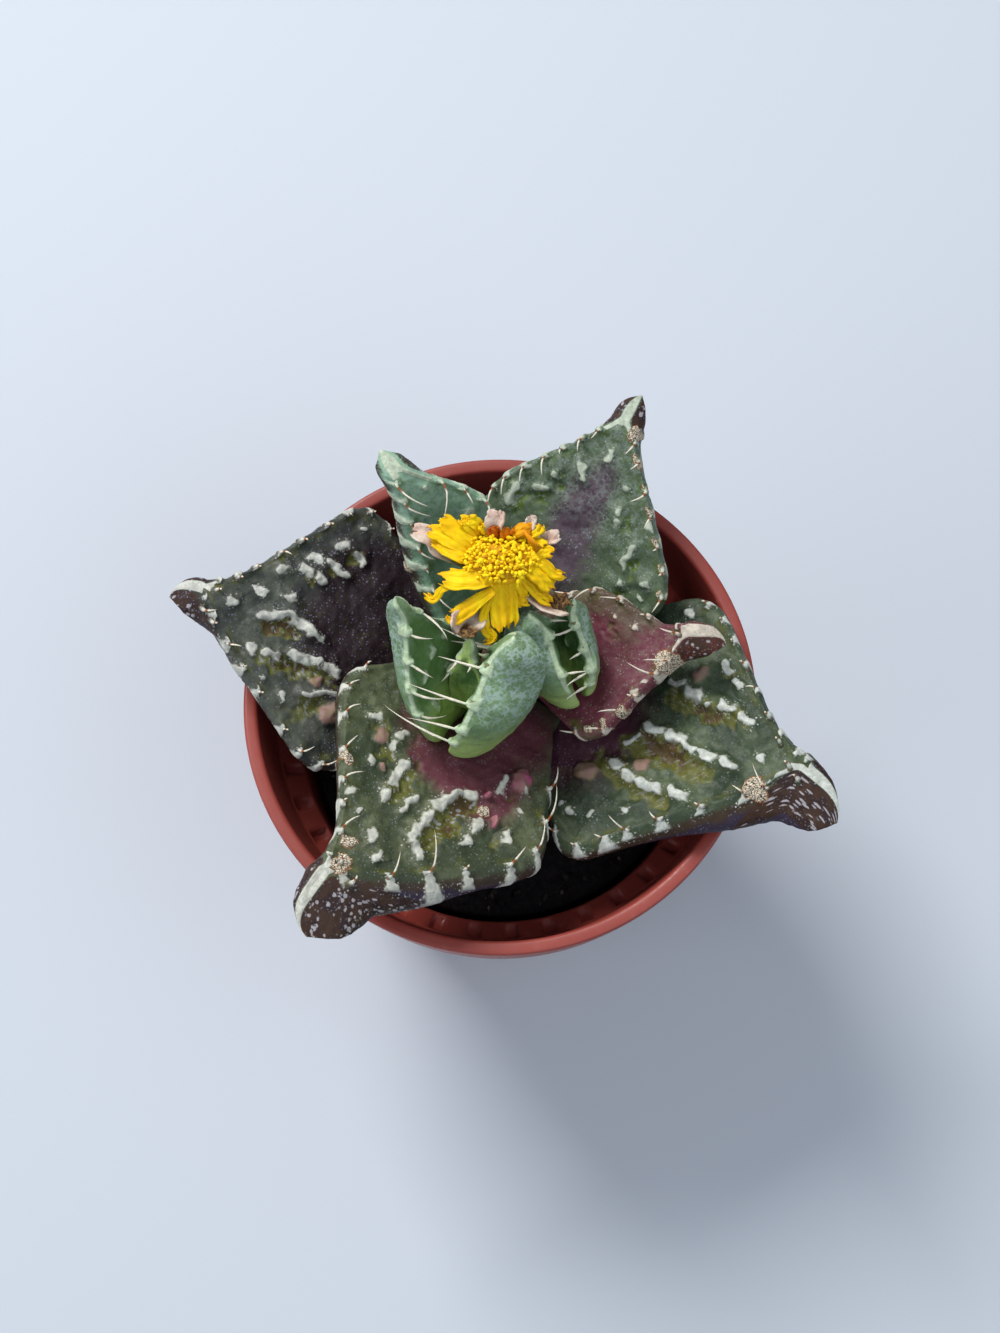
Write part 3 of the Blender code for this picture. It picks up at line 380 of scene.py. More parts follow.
leafForms = {
    "leafOuterLeft": {
        "node": "leaf_outer_left", "skin": "left", "base": (-3.6, 2.8, 42.5), "heading": 171, "rise": 31, "roll": -4,
        "bend": -14, "length": 34.3, "left": (13.8, 0.46), "right": (16.1, 0.47), "sickle": -1.3, "shoulder": 0.915,
        "root": (4.5, 3.5), "depth": 5.0, "lean": -1.7, "chin": 3.4, "swell": (1.4, 0.0), "bristle": (1.5, 1.0),
        "broken": (0.3, 0.85), "flame": (1.7, 1.2),
        "teethLeft": (0.90, 0.86, 0.80, 0.74, 0.68, 0.58, 0.51, 0.44, 0.37),
        "teethRight": (0.87, 0.82, 0.77, 0.71, 0.65, 0.58, 0.52, 0.45, 0.38),
        "marks": (
            (0.55, (0.537, -10.4), (0.51, -10.6)), (0.42, (0.477, -10.2), (0.453, -10.1), (0.44, -9.5)),
            (0.48, (0.603, -8.5), (0.58, -8.4)), (0.5, (0.547, -8.4), (0.52, -8), (0.49, -7.7)),
            (0.55, (0.693, -6), (0.683, -6.1)), (0.68, (0.623, -7), (0.607, -6.7)),
            (0.48, (0.573, -6.6), (0.547, -6)), (0.45, (0.757, -3.1), (0.727, -3.1)),
            (0.5, (0.823, -1.1), (0.81, -1.2)), (0.5, (0.657, -3.3), (0.633, -3.5)),
            (0.55, (0.72, -0.4), (0.687, -1), (0.633, -1.5)), (0.6, (0.633, -1.5), (0.6, -1.2), (0.563, -0.5)),
            (0.45, (0.563, -0.5), (0.52, 0)), (0.6, (0.727, 3.1)), (0.55, (0.68, 3), (0.637, 2.9)),
            (0.6, (0.59, 2.6), (0.547, 2.4), (0.513, 2.3)), (0.7, (0.473, 2.5), (0.453, 2.9)), (0.4, (0.673, 5.9)),
            (0.52, (0.603, 6.9)), (0.36, (0.537, 6.2), (0.487, 5.6), (0.447, 5.2), (0.397, 5.2)),
            (0.4, (0.457, -13.3)),
        ),
        "hollows": (
            (1, 1.5, (0.693, 0.1), (0.617, -0.2)), (0.9, 1.2, (0.64, 3.9), (0.54, 3.2)),
            (1.1, 0.7, (0.693, 3.8), (0.473, 3.6)), (0.8, 1, (0.533, -7.5)), (0.8, 1.4, (0.587, -6)),
            (1, 0.8, (0.467, -9.8)), (1.3, 0.7, (0.543, 8), (0.487, 6.6)), (0.8, 0.6, (0.62, 9.6)),
        ),
        "pinks": ((0.507, 4.4, 1.4),), "tans": ((0.437, 7.2, 3.0),),
        "blush": ((0.22, -3, 9, 9, 1.5), (0.44, -1, 5, 5, 0.6), (0.42, -8, 5, 4, 0.5)),
    },
    "leafOuterFront": {
        "node": "leaf_outer_front", "skin": "front", "base": (0.7, 1.0, 46.0), "heading": 235.3, "rise": 30,
        "roll": -8, "bend": -12, "length": 36.8, "left": (14.0, 0.41), "right": (14.2, 0.32), "sickle": -0.4,
        "shoulder": 0.845, "root": (6.0, 3.5), "depth": 5.5, "lean": -2.3, "chin": 3.7, "swell": (6.4, 0.2),
        "cheek": 0.42, "blunt": (3.0, 3.0), "hook": 1.0, "bristle": (2.6, 2.0), "broken": (0.1, 0.5),
        "flame": (3.6, 1.2), "tipRim": 5.4, "lowRim": True, "tipReach": 1.6,
        "teethLeft": (0.82, 0.74, 0.66, 0.58, 0.48, 0.39, 0.29, 0.20),
        "teethRight": (0.80, 0.73, 0.66, 0.60, 0.53, 0.44, 0.36, 0.28),
        "marks": (
            (0.5, (0.387, -9.1), (0.367, -8.2)), (0.5, (0.353, -5.2), (0.38, -5.5)), (0.6, (0.413, -5.4)),
            (0.55, (0.497, -5.9)), (0.62, (0.433, -3), (0.47, -3.1), (0.503, -2.8)),
            (0.62, (0.543, -2.7), (0.563, -2.4)), (0.42, (0.5, 0), (0.53, -0.2), (0.553, -0.1)),
            (0.36, (0.643, -3.4)), (0.5, (0.617, -5.4)), (0.55, (0.67, -0.9), (0.687, -0.5)),
            (0.45, (0.713, 1.2), (0.73, 1.1)), (0.55, (0.37, 4.4), (0.39, 3.4), (0.42, 2.7)),
            (0.72, (0.423, 2.7), (0.457, 2.4), (0.48, 2.3)),
            (0.7, (0.517, 2.3), (0.547, 2.2), (0.583, 2.3), (0.61, 2.5)), (0.6, (0.62, 3.3), (0.633, 4.1)),
            (0.5, (0.423, 6.6), (0.46, 6.7)), (0.52, (0.497, 7), (0.517, 6.8)), (0.5, (0.407, 9.5), (0.423, 10.1)),
            (0.42, (0.26, 5.7), (0.303, 6.2)), (0.35, (0.257, 8.4)), (0.35, (0.32, 9.3)),
        ),
        "hollows": (
            (1.1, 0.7, (0.377, -7.8)), (1, 0.9, (0.443, -5.1)), (1.5, 0.9, (0.463, -2.2), (0.527, -1.6)),
            (0.9, 0.6, (0.417, -2)), (1.5, 1, (0.493, 3.6), (0.58, 4)), (1.3, 1.5, (0.44, 3.9), (0.403, 4.4)),
            (1.2, 1.3, (0.507, 4.8)), (1, 0.7, (0.447, 9.2)), (1, 0.6, (0.297, 7.3)),
        ),
        "pinks": ((0.407, -6.9, 2.0), (0.487, -4.6, 0.9)),
        "rosies": ((0.237, 7.4, 2.8), (0.40, 7.9, 1.2), (0.343, 5.5, 1.0)),
        "scars": ((0.39, 6.2, 1.3), (0.543, -7.8, 1.3), (0.737, -2.1, 1.5), (0.80, -1.2, 2.0)),
        "blush": (
            (0.10, 1, 5, 7, 1.2), (0.33, 1.5, 3.2, 3.5, 1.3), (0.36, -2.2, 2.2, 1.6, 0.9), (0.33, 5.5, 3.5, 3.0, 1.2),
            (0.30, -6, 2.5, 1.5, 0.5),
        ),
    },
    "leafOuterRight": {
        "node": "leaf_outer_right", "skin": "right", "base": (4.0, 4.3, 42.5), "heading": 333.3, "rise": 30,
        "roll": 6, "bend": -14, "length": 38.0, "left": (14.1, 0.44), "right": (17.3, 0.33), "sickle": -2.2,
        "shoulder": 0.865, "root": (4.5, 3.5), "depth": 5.0, "lean": 2.2, "chin": 3.7, "low": (0.1, -1.0),
        "swell": (0.2, 6.0), "cheek": 0.40, "blunt": (2.6, 2.6), "hook": -2.0, "tipReach": 0.9, "bristle": (1.0, 1.6),
        "broken": (0.85, 0.25), "flame": (1.2, 1.5),
        "teethLeft": (0.87, 0.84, 0.78, 0.73, 0.67, 0.61, 0.55, 0.50, 0.44),
        "teethRight": (0.80, 0.75, 0.65, 0.56, 0.48, 0.43, 0.36, 0.28),
        "ridges": ((0.56, 3.6, 9.0, -3), (0.55, -1.9, 11.0, -2), (0.44, -6.8, 9.0, 0)),
        "marks": (
            (0.55, (0.427, 4), (0.46, 4.1)), (0.7, (0.497, 3.6), (0.523, 3.5)), (0.4, (0.553, 3.1)),
            (0.55, (0.597, 3.5), (0.63, 3.7)), (0.55, (0.66, 3.4), (0.693, 3.3)), (0.5, (0.557, 8), (0.573, 7.3)),
            (0.5, (0.61, 6.7), (0.627, 6.3)), (0.6, (0.42, -1.7), (0.453, -1.5)), (0.35, (0.367, -4), (0.397, -2.6)),
            (0.7, (0.49, -1.4), (0.533, -1.5)), (0.5, (0.55, -1.9), (0.573, -2)), (0.55, (0.6, -1.9), (0.63, -1.9)),
            (0.55, (0.663, -1.8), (0.687, -1.9)), (0.55, (0.357, -6.4), (0.383, -6.5)),
            (0.6, (0.413, -7), (0.443, -7.3)), (0.58, (0.467, -7.4), (0.513, -7.1)),
            (0.6, (0.56, -6.8), (0.597, -6.8)), (0.55, (0.753, 0.3)), (0.4, (0.453, -10.5)), (0.48, (0.36, -12.4)),
            (0.48, (0.297, -12.9)), (0.45, (0.26, -12.5)), (0.5, (0.387, 11.6), (0.403, 11.6)),
        ),
        "hollows": (
            (1.2, 0.9, (0.447, 2.7), (0.533, 2.4), (0.647, 2.9)), (1, 1.3, (0.537, 2.2), (0.59, 2.3)),
            (1.6, 1, (0.383, -3.8), (0.503, -3.6), (0.607, -3.8)), (1.3, 1.5, (0.43, -3), (0.527, -3.1)),
            (1.3, 0.9, (0.32, -6.7), (0.437, -7.9), (0.533, -8.1)), (1.5, 0.7, (0.287, -8.3)),
            (1.2, 0.5, (0.7, -5.4)), (0.9, 0.8, (0.573, 7.2)),
        ),
        "pinks": ((0.44, -5.4, 2.0), (0.497, 5.9, 2.0)), "tans": ((0.287, -8.4, 2.8),),
        "scars": ((0.773, -2.8, 2.5),), "blush": ((0.10, -2, 9, 9, 1.2), (0.25, -3, 5, 5, 0.6)),
    },
    "leafOuterBack": {
        "node": "leaf_outer_back", "skin": "back", "base": (1.9, 6.8, 46.0), "heading": 56.7, "rise": 36, "roll": 0,
        "bend": -10, "length": 30.0, "left": (11.0, 0.45), "right": (12.6, 0.43), "sickle": 1.9, "shoulder": 0.92,
        "root": (4.5, 3.5), "depth": 5.5, "ridge": 0.40, "lean": 0.3, "chin": 3.2, "bristle": (1.9, 1.6),
        "broken": (0.3, 0.2), "flame": (1.0, 1.2), "teethLeft": (0.83, 0.77, 0.71, 0.65, 0.58, 0.52, 0.46, 0.39),
        "teethRight": (0.86, 0.80, 0.73, 0.67, 0.59, 0.52, 0.44),
        "marks": (
            (0.5, (0.507, 7.9), (0.443, 8)), (0.4, (0.583, 7.5)), (0.5, (0.617, 4.7)),
            (0.48, (0.537, 5.9), (0.55, 5)), (0.4, (0.69, 2.5), (0.653, 1.7)), (0.45, (0.78, 0.1), (0.757, 0.2)),
            (0.48, (0.697, -2.9)), (0.5, (0.62, -3.4)), (0.55, (0.58, -3.7)), (0.5, (0.62, -7), (0.627, -7.3)),
            (0.42, (0.537, -6.5), (0.497, -6.3), (0.463, -6.1)), (0.45, (0.407, -6.8)),
            (0.5, (0.443, -9.3), (0.45, -9.6)), (0.35, (0.387, -9.4)),
        ),
        "hollows": (
            (1.1, 0.9, (0.51, 5)), (1.2, 0.7, (0.457, 6.8)), (1, 0.9, (0.47, -7.3)), (0.9, 0.7, (0.59, -4.7)),
            (1, 0.8, (0.35, -7.4)), (0.8, 0.7, (0.59, 4)),
        ),
        "scars": ((0.877, -1.3, 1.2),), "corky": -1, "knob": 0.15,
        "blush": ((0.52, 0.6, 6, 3.0, 0.75), (0.30, -1, 5, 4, 0.45), (0.68, -0.5, 3, 1.6, 0.35)),
    },
    "leafInnerBack": {
        "node": "leaf_inner_back", "slot": "leaf_young", "skin": "innerBack", "fine": (240, 160),
        "base": (-1.7, 7.2, 49.5), "heading": 119.1, "rise": 46, "roll": 0, "bend": 8, "length": 24.0,
        "left": (3.0, 0.44), "right": (6.8, 0.60), "sickle": 2.3, "shoulder": 0.96, "root": (3.5, 3.0), "depth": 5.0,
        "ridge": 0.6, "chin": 3.0, "flare": (2.2, 0.0), "drop": 2.0, "bristle": (2.4, 3.0), "broken": (0.1, 0.0),
        "tipBrown": 0.3, "flankBlush": 1.0, "flame": (2.2, 0.9), "teethLeft": (0.88, 0.79, 0.68, 0.56, 0.45, 0.33),
        "teethRight": (0.80, 0.71, 0.62), "marks": ((0.5, (0.59, -4.2)), (0.45, (0.8, -1.6))),
        "scars": ((0.45, 4.4, 1.0),), "blush": ((0.50, 5.4, 6, 1.8, 0.9), (0.72, 5.0, 4, 1.5, 0.6)),
    },
    "leafInnerRight": {
        "node": "leaf_inner_right", "slot": "leaf_red", "skin": "innerRight", "fine": (240, 160),
        "base": (2.9, 4.9, 49.5), "heading": -4.4, "rise": 30, "roll": 8, "bend": -6, "length": 21.8,
        "left": (6.4, 0.39), "right": (10.5, 0.35), "sickle": -0.45, "shoulder": 0.85, "root": (3.5, 3.0),
        "depth": 4.5, "ridge": 0.55, "lean": 1.3, "chin": 2.6, "swell": (0.0, 1.2), "bristle": (2.2, 2.8),
        "broken": (0.4, 0.1), "flame": (1.2, 1.6), "teethLeft": (0.80, 0.66, 0.52, 0.38, 0.26),
        "teethRight": (0.76, 0.70, 0.59, 0.52, 0.43, 0.29),
        "marks": ((0.45, (0.593, 1.7)), (0.3, (0.49, 3)), (0.35, (0.64, -4.2)), (0.3, (0.577, -5.5), (0.607, -5.1))),
        "hollows": ((0.9, 0.5, (0.46, 1.4)),),
        "scars": ((0.743, -1.9, 2.2), (0.52, -6.9, 1.0), (0.43, -8.2, 0.9), (0.35, -8.9, 1.0)),
        "blush": (
            (0.12, -3, 4, 5, 1.3), (0.36, 1.2, 3.5, 2.6, 0.9), (0.40, -5.0, 6, 2.4, 0.9), (0.60, -2.6, 5, 2.0, 0.8),
            (0.78, -0.4, 4, 3, 1.0), (0.55, -8.0, 6, 1.6, 0.8),
        ),
        "flankBlush": 1.3, "flankTone": 0.35,
    },
    "frontShootLeft": {
        "node": "front_shoot_leaf_left", "skin": "shoot", "fine": (148, 100), "base": (-4.7, -3.4, 50.5),
        "heading": 118, "rise": 54, "roll": 32, "bend": 4, "length": 18.5, "left": (4.6, 0.42), "right": (6.2, 0.42),
        "sickle": 0.6, "shoulder": 0.93, "root": (3.8, 2.6), "depth": 3.8, "dish": 0.6, "ridge": 0.5, "chin": 1.4,
        "drop": 0.8, "bristle": (3.6, 3.6), "teethLeft": (0.80, 0.64, 0.48, 0.32), "teethRight": (0.84, 0.62),
        "sweep": (0.55, 0.65, 0.45),
        "marks": (
            (0.6, (0.53, -0.2), (0.56, -0.8)), (0.55, (0.47, 2.0), (0.48, 1.5)), (0.55, (0.355, -1.4), (0.37, -2.0)),
            (0.5, (0.29, 2.1), (0.23, 1.7)), (0.5, (0.577, -2.9)), (0.5, (0.377, -3.9)),
        ),
        "blush": ((0.05, 0, 6, 6, 0.9),),
    },
    "frontShootRight": {
        "node": "front_shoot_leaf_right", "skin": "shoot", "fine": (148, 100), "base": (-4.2, -4.3, 50.5),
        "heading": 52, "rise": 58, "roll": -72, "bend": 10, "length": 16, "left": (5.6, 0.45), "right": (5.6, 0.45),
        "sickle": 0, "shoulder": 0.84, "root": (4.2, 3.6), "depth": 6.0, "dish": 0.6, "ridge": 0.6, "chin": 3.2,
        "drop": 1.6, "bristle": (4.6, 4.6), "teethLeft": (0.78, 0.60, 0.42), "teethRight": (0.74, 0.56, 0.38, 0.22),
        "blunt": (4.5, 4.5), "sweep": (0.10, 0.30, 1.0), "blush": ((0.02, 0, 6, 8, 1.0),),
    },
    "frontShootHeart": {
        "node": "front_shoot_heart_leaf", "skin": "shoot", "fine": (100, 60), "base": (-3.6, -2.2, 52.0),
        "heading": 84, "rise": 62, "roll": -24, "bend": 8, "length": 10.5, "left": (2.2, 0.4), "right": (2.4, 0.4),
        "sickle": 0, "shoulder": 0.9, "root": (1.6, 1.4), "depth": 2.0, "dish": 0.2, "ridge": 0.4, "chin": 1.0,
        "drop": 0.5, "bristle": (1.6, 1.6), "teethLeft": (0.75, 0.5), "teethRight": (0.75, 0.5), "rim": 0.3,
        "sweep": (0.2, 0.4, 0.6), "blush": ((0.3, 0, 9, 9, 1.2),),
    },
    "rightShootLeft": {
        "node": "right_shoot_leaf_left", "skin": "shoot", "fine": (140, 90), "base": (7.8, 0.4, 51.8), "heading": 132,
        "rise": 57, "roll": 60, "bend": 10, "length": 12.2, "left": (4.4, 0.45), "right": (4.4, 0.45), "sickle": 0,
        "shoulder": 0.84, "root": (3.6, 3.0), "depth": 4.8, "dish": 0.5, "ridge": 0.5, "chin": 2.3, "drop": 1.2,
        "bristle": (2.0, 2.0), "teethLeft": (0.76, 0.5), "teethRight": (0.80, 0.62, 0.44, 0.26), "blunt": (4.0, 4.0),
        "sweep": (0.3, 0.3, 0.8), "blush": ((0.02, 0, 5, 7, 1.0),),
    },
    "rightShootRight": {
        "node": "right_shoot_leaf_right", "skin": "shoot", "fine": (140, 90), "base": (7.6, 0.7, 51.8), "heading": 92,
        "rise": 58, "roll": -58, "bend": 8, "length": 11.5, "left": (4.0, 0.42), "right": (4.0, 0.42), "sickle": 0,
        "shoulder": 0.93, "root": (3.0, 2.0), "depth": 2.6, "dish": 0.5, "ridge": 0.4, "chin": 1.0, "drop": 0.6,
        "bristle": (2.6, 2.6), "teethLeft": (0.72, 0.46), "teethRight": (0.80, 0.60, 0.42, 0.26), "rim": 0.4,
        "sweep": (-0.2, -0.2, 0.9), "marks": ((0.4, (0.5, 0.5)),), "blush": ((0.05, 0, 5, 7, 0.8),),
    },
}


def softMin(a, b, width):
    blend = np.clip(0.5 + 0.5 * (b - a) / width, 0, 1)
    return b * (1 - blend) + a * blend - width * blend * (1 - blend)


def softMax(a, b, width):
    return -softMin(-a, -b, width)


def easedStep(t):
    t = np.clip(t, 0, 1)
    return t * t * (3 - 2 * t)


def deckHalf(form, u, side):
    # half width of the flat upper face
    widest, where = form["left"] if side > 0 else form["right"]
    rising = form["root"][0] + (widest - form["root"][0]) * u / where
    falling = widest * (form["shoulder"] - u) / (form["shoulder"] - where)
    edge = softMin(rising, falling, min(4.6, 0.42 * widest))
    past = np.clip((u - form["shoulder"]) / (1 - form["shoulder"]), 0, 1)
    return np.maximum(softMax(edge, form["ridge"] * np.sqrt(1 - past**2), 0.5 * form["ridge"]), 0.05)


def tipDrop(form, u):
    start = form["shoulder"] * 0.93
    return form["drop"] * np.maximum(0, (u - start) / (1 - start)) ** 1.7


def deckHeight(form, u, s):
    level = np.clip(1.3 * (form["shoulder"] - u) / form["shoulder"], 0, 1)
    return form["dish"] * s * s * level - tipDrop(form, u)


def flankHalf(form, u, deck, side):
    # how far the flank bulges past the edge of the upper face
    which = 0 if side > 0 else 1
    past = np.clip((u - form["shoulder"] + 0.12) / (1.12 - form["shoulder"]), 0, 1)
    grown = np.clip((u - 0.3) / (form["shoulder"] - 0.3), 0, 1)
    along = np.clip(u, 0, 1)
    bulge = form["flare"][which] * np.sin(math.pi * along**0.7) + form["swell"][which] * np.sin(math.pi * along**3.5)
    chin = form["chin"] + 0.6 * form["swell"][which]
    return softMax(deck + 0.15 + bulge, chin * np.sqrt(1 - past ** form["blunt"][0]) * grown, 0.8)


def keelDepth(form, u):
    rise = np.clip(u / 0.62, 0, 1)
    fall = np.clip((u - 0.62) / 0.38, 0, 1)
    body = form["root"][1] + (form["depth"] - form["root"][1]) * np.sin(rise * math.pi / 2) ** 1.2
    return softMax(body * np.sqrt(1 - fall ** form["blunt"][1]), tipDrop(form, u) + 1.5 * (1 - 0.6 * fall**3), 0.6)


def onLeaf(form, u, across, up):
    # from the leaf's own bent lengths to the pot's frame
    bend = math.radians(form["bend"])
    turned = bend * u
    local = np.stack(
        [
            form["length"] * np.sin(turned) / bend - up * np.sin(turned),
            across + form["sickle"] * u * u + form["hook"] * np.maximum(0, (u - 0.7) / 0.3) ** 2,
            form["length"] * (1 - np.cos(turned)) / bend + up * np.cos(turned),
            np.ones_like(u * up),
        ]
    )
    turn = Matrix.Rotation(math.radians(form["heading"]), 4, "Z")
    lift = Matrix.Rotation(-math.radians(form["rise"]), 4, "Y")
    roll = Matrix.Rotation(math.radians(form["roll"]), 4, "X")
    whole = np.array(Matrix.Translation(form["base"]) @ turn @ lift @ roll)
    return np.tensordot(whole, local, axes=(1, 0))[:3]


def leafGrid(around, rings):
    # an upright tube whose rows will become the leaf's cross sections
    bm = bmesh.new()
    bmesh.ops.create_cone(bm, cap_ends=True, segments=around, radius1=1, radius2=1, depth=1)
    upright = [edge for edge in bm.edges if abs(edge.verts[0].co.z - edge.verts[1].co.z) > 0.5]
    bmesh.ops.subdivide_edges(bm, edges=upright, cuts=rings - 2)
    bmesh.ops.recalc_face_normals(bm, faces=bm.faces)
    return bm


def capsule(x, y, spot, length, turn, radius):
    # 1 on the line of a mark, 0 at its edge and below 0 outside
    c, s = math.cos(math.radians(turn)), math.sin(math.radians(turn))
    along = (x - spot[0]) * c + (y - spot[1]) * s
    off = -(x - spot[0]) * s + (y - spot[1]) * c
    over = np.maximum(np.abs(along) - np.maximum(length / 2 - radius, 0.0), 0)
    return 1 - np.hypot(over, off) / radius


def trail(x, y, length, spots, radius):
    # the same for a mark that follows a row of spots
    near = np.full(x.shape, 99.0)
    for (a, b), (c, d) in zip(spots, spots[1:] or spots):
        dx, dy = (c - a) * length, d - b
        t = np.clip(((x - a * length) * dx + (y - b) * dy) / max(dx * dx + dy * dy, 1e-9), 0, 1)
        near = np.minimum(near, np.hypot(x - a * length - t * dx, y - b - t * dy))
    return 1 - near / radius


def leafFields(form, seed, u, across, deckEdge, fromMargin, sideOf, onDeck):
    # how high the skin stands and how strong each marking is, at every point of the leaf
    length, low = form["length"], form["low"]
    flatX, flatY = u * length, across

    def wander(turn, size):
        return wobble(flatX, flatY, seed + turn, size)

    x = flatX + 0.20 * wander(0, 3.6) + 0.045 * wander(1, 1.1)
    y = flatY + 0.20 * wander(3, 3.2) + 0.045 * wander(4, 1.0)
    farX, farY = x + 0.45 * wander(11, 2.9), y + 0.45 * wander(12, 2.6)
    swollen = 1 + 0.25 * wander(9, 2.0)
    inside = onDeck * np.clip(-fromMargin / 0.9, 0, 1)
    out = {name: np.full(x.shape, -1.0) for name in ("pale", "pink", "rosy", "scar")}

    def paint(name, values):
        out[name] = np.maximum(out[name], values)

    # folds, hollows and chalky warts
    height = 0.20 * wobble(x, y, seed + 5, 8.0) * inside + 0.045 * wobble(x, y, seed + 6, 2.6)
    shade = np.zeros(x.shape)
    for where, off, size, turn in form["ridges"]:
        crest = capsule(x, y, (where * length + 0.2 * low[0], off + 0.2 * low[1]), size + 2.2, turn, 2.0)
        height = height + 0.55 * easedStep(crest) * inside
    # hollows sink the skin and paint shade into it as olive and brown, partly the leaf's own patches
    for radius, strong, *spots in form["hollows"]:
        below = trail(farX, farY, length, spots, 1.35 * radius)
        shade = np.maximum(shade, strong * easedStep(1.3 * below))
        height = height - 0.34 * easedStep(below) * inside
    for radius, *spots in form["marks"]:
        near = trail(x, y, length, spots, 0.98 * radius * swollen)
        paint("pale", np.where(inside > 0.05, near, -1))
        fold = easedStep(trail(x, y, length, spots, radius + 1.0))
        height = height + (0.10 + 0.14 * len(spots)) * fold * inside
        height = height + 0.15 * np.clip(near + 0.4, 0, 1) * inside
    # smooth warts and corky scars
    for kind, warts, rise in (("pink", form["pinks"], 0.7), ("pink", form["tans"], 0.9), ("rosy", form["rosies"], 1.4)):
        for index, (where, off, size) in enumerate(warts):
            near = capsule(x, y, (where * length, off), size * 1.15, 25 + 40 * index, size * 0.42)
            paint(kind, near)
            height = height + rise * np.sqrt(np.clip(near, 0, 1)) * inside
    for index, (where, off, size) in enumerate(form["scars"]):
        near = capsule(x, y, (where * length, off), size * 1.2, 60 * index, size * 0.5)
        paint("scar", near + 0.12 * wobble(x, y, seed + 8, 0.9))
        height = height + 0.22 * np.clip(near * 3, 0, 1)
    # a pale flame runs from the foot of each tooth down the flank and towards the tip
    luck = random.Random(seed * 31)
    for which, (side, teeth) in enumerate(((1, form["teethLeft"]), (-1, form["teethRight"]))):
        drop = np.where(sideOf == side, fromMargin, 99.0)
        for index, where in enumerate(teeth):
            size = luck.uniform(0.6, 1.3) * (0.5 if index == 0 and length > bigLeaf else 1)
            dx = (u - where) * length + 0.14 * wander(7, 1.1)
            reach = drop / (form["flame"][which] * size)
            wide = 0.74 * size * (0.4 + 0.8 * np.clip(reach, 0, 1))
            near = 1 - np.abs(dx - 0.30 * drop) / wide
            near = np.minimum(near, np.minimum(2.0 * (1 - reach), 0.9 + 3 * drop))
            paint("pale", near)
            height = height + 0.24 * np.clip(near + 0.35, 0, 1)
            if form["corky"] == side:
                paint("scar", capsule(dx, drop, (0.0, -0.15), 0.9, 20 * index, 0.55 * size))
            height = height + form["knob"] * np.exp(-((dx / 0.6) ** 2) - (drop / 0.5) ** 2)
            # painted shade, olive, on the upper face at each tooth's foot, partly the leaf's own tint
            socket = np.exp(-(((dx + 0.2) / 1.1) ** 2) - ((drop + 0.4) / 0.8) ** 2)
            shade = np.maximum(shade, 0.5 * socket)
    # beyond the last tooth the two edges are pale and run together into the ridge of the tip
    lastLeft, lastRight = max(form["teethLeft"]), max(form["teethRight"])
    beyond = np.where(sideOf > 0, u - lastLeft, u - lastRight) * length
    narrow, broad = 0.8 - np.clip(fromMargin, 0, 9) / 0.2, 1 - np.abs(fromMargin + 0.2) / 0.34
    ridgeLine = np.where(deckEdge < 0.9, narrow, broad)
    paint("pale", np.where(beyond > 0.4, ridgeLine * form["edgePale"], -1))
    if form["rim"]:
        rimmed = 1.0 - np.abs(fromMargin - 0.3) / form["rim"]
        paint("pale", rimmed * np.clip((u - 0.15) * 4, 0, 1))
    beyond = beyond + form["tipReach"] * np.clip(fromMargin - 1.0, 0, 5)
    if form["lowRim"]:
        paint("pale", np.where(beyond > 3.0, 0.05 - np.abs(fromMargin - form["tipRim"]) / 1.4, -1))
    under = np.clip((fromMargin - form["tipRim"] - 0.4) / 0.9, 0, 1)
    tip = np.clip((beyond - 0.2) / 1.6, 0, 1) * np.clip((fromMargin - 0.05) / 0.6, 0, 1)
    out["tip"] = tip * (1 - onDeck) * (1 - under) * form["tipBrown"]
    out["flank"] = np.clip((fromMargin - 0.4) / 2.6, 0, 1) * (1 - onDeck) * form["flankTone"]
    # painted shade, on the upper face at full strength from about half a millimetre in from the margin, weaker on the
    # flanks
    out["shadeAndOlive"] = shade * np.where(onDeck, np.clip(0.4 - fromMargin / 0.9, 0, 1), 0.4)
    blush = np.zeros(x.shape)
    for where, off, far, wide, strong in form["blush"]:
        blush = blush + strong * np.exp(-(((u - where) * length / far) ** 2) - ((y - off) / wide) ** 2)
    out["blush"] = blush * np.where(onDeck, 1, form["flankBlush"])
    out["netted"] = np.clip((u - 0.35) * 1.6, 0, 0.6) + 0 * x
    if form["skin"] == "shoot":  # plain inside, and painted shade: a deeper green over the inner face
        out["netted"] = np.where(onDeck, -0.6, out["netted"])
        paint("shadeAndOlive", 0.85 * inside * np.clip((u - 0.12) / 0.3, 0, 1))
    out["far"], out["down"] = flatX * mm, fromMargin * mm
    out["hill"] = np.clip(height, 0, 1)
    out["height"] = height
    return out


bigLeaf = 20  # longer leaves root deeper in the crown and have a smaller last flame
deckShare = 0.56  # of the points round a cross section, on the upper face


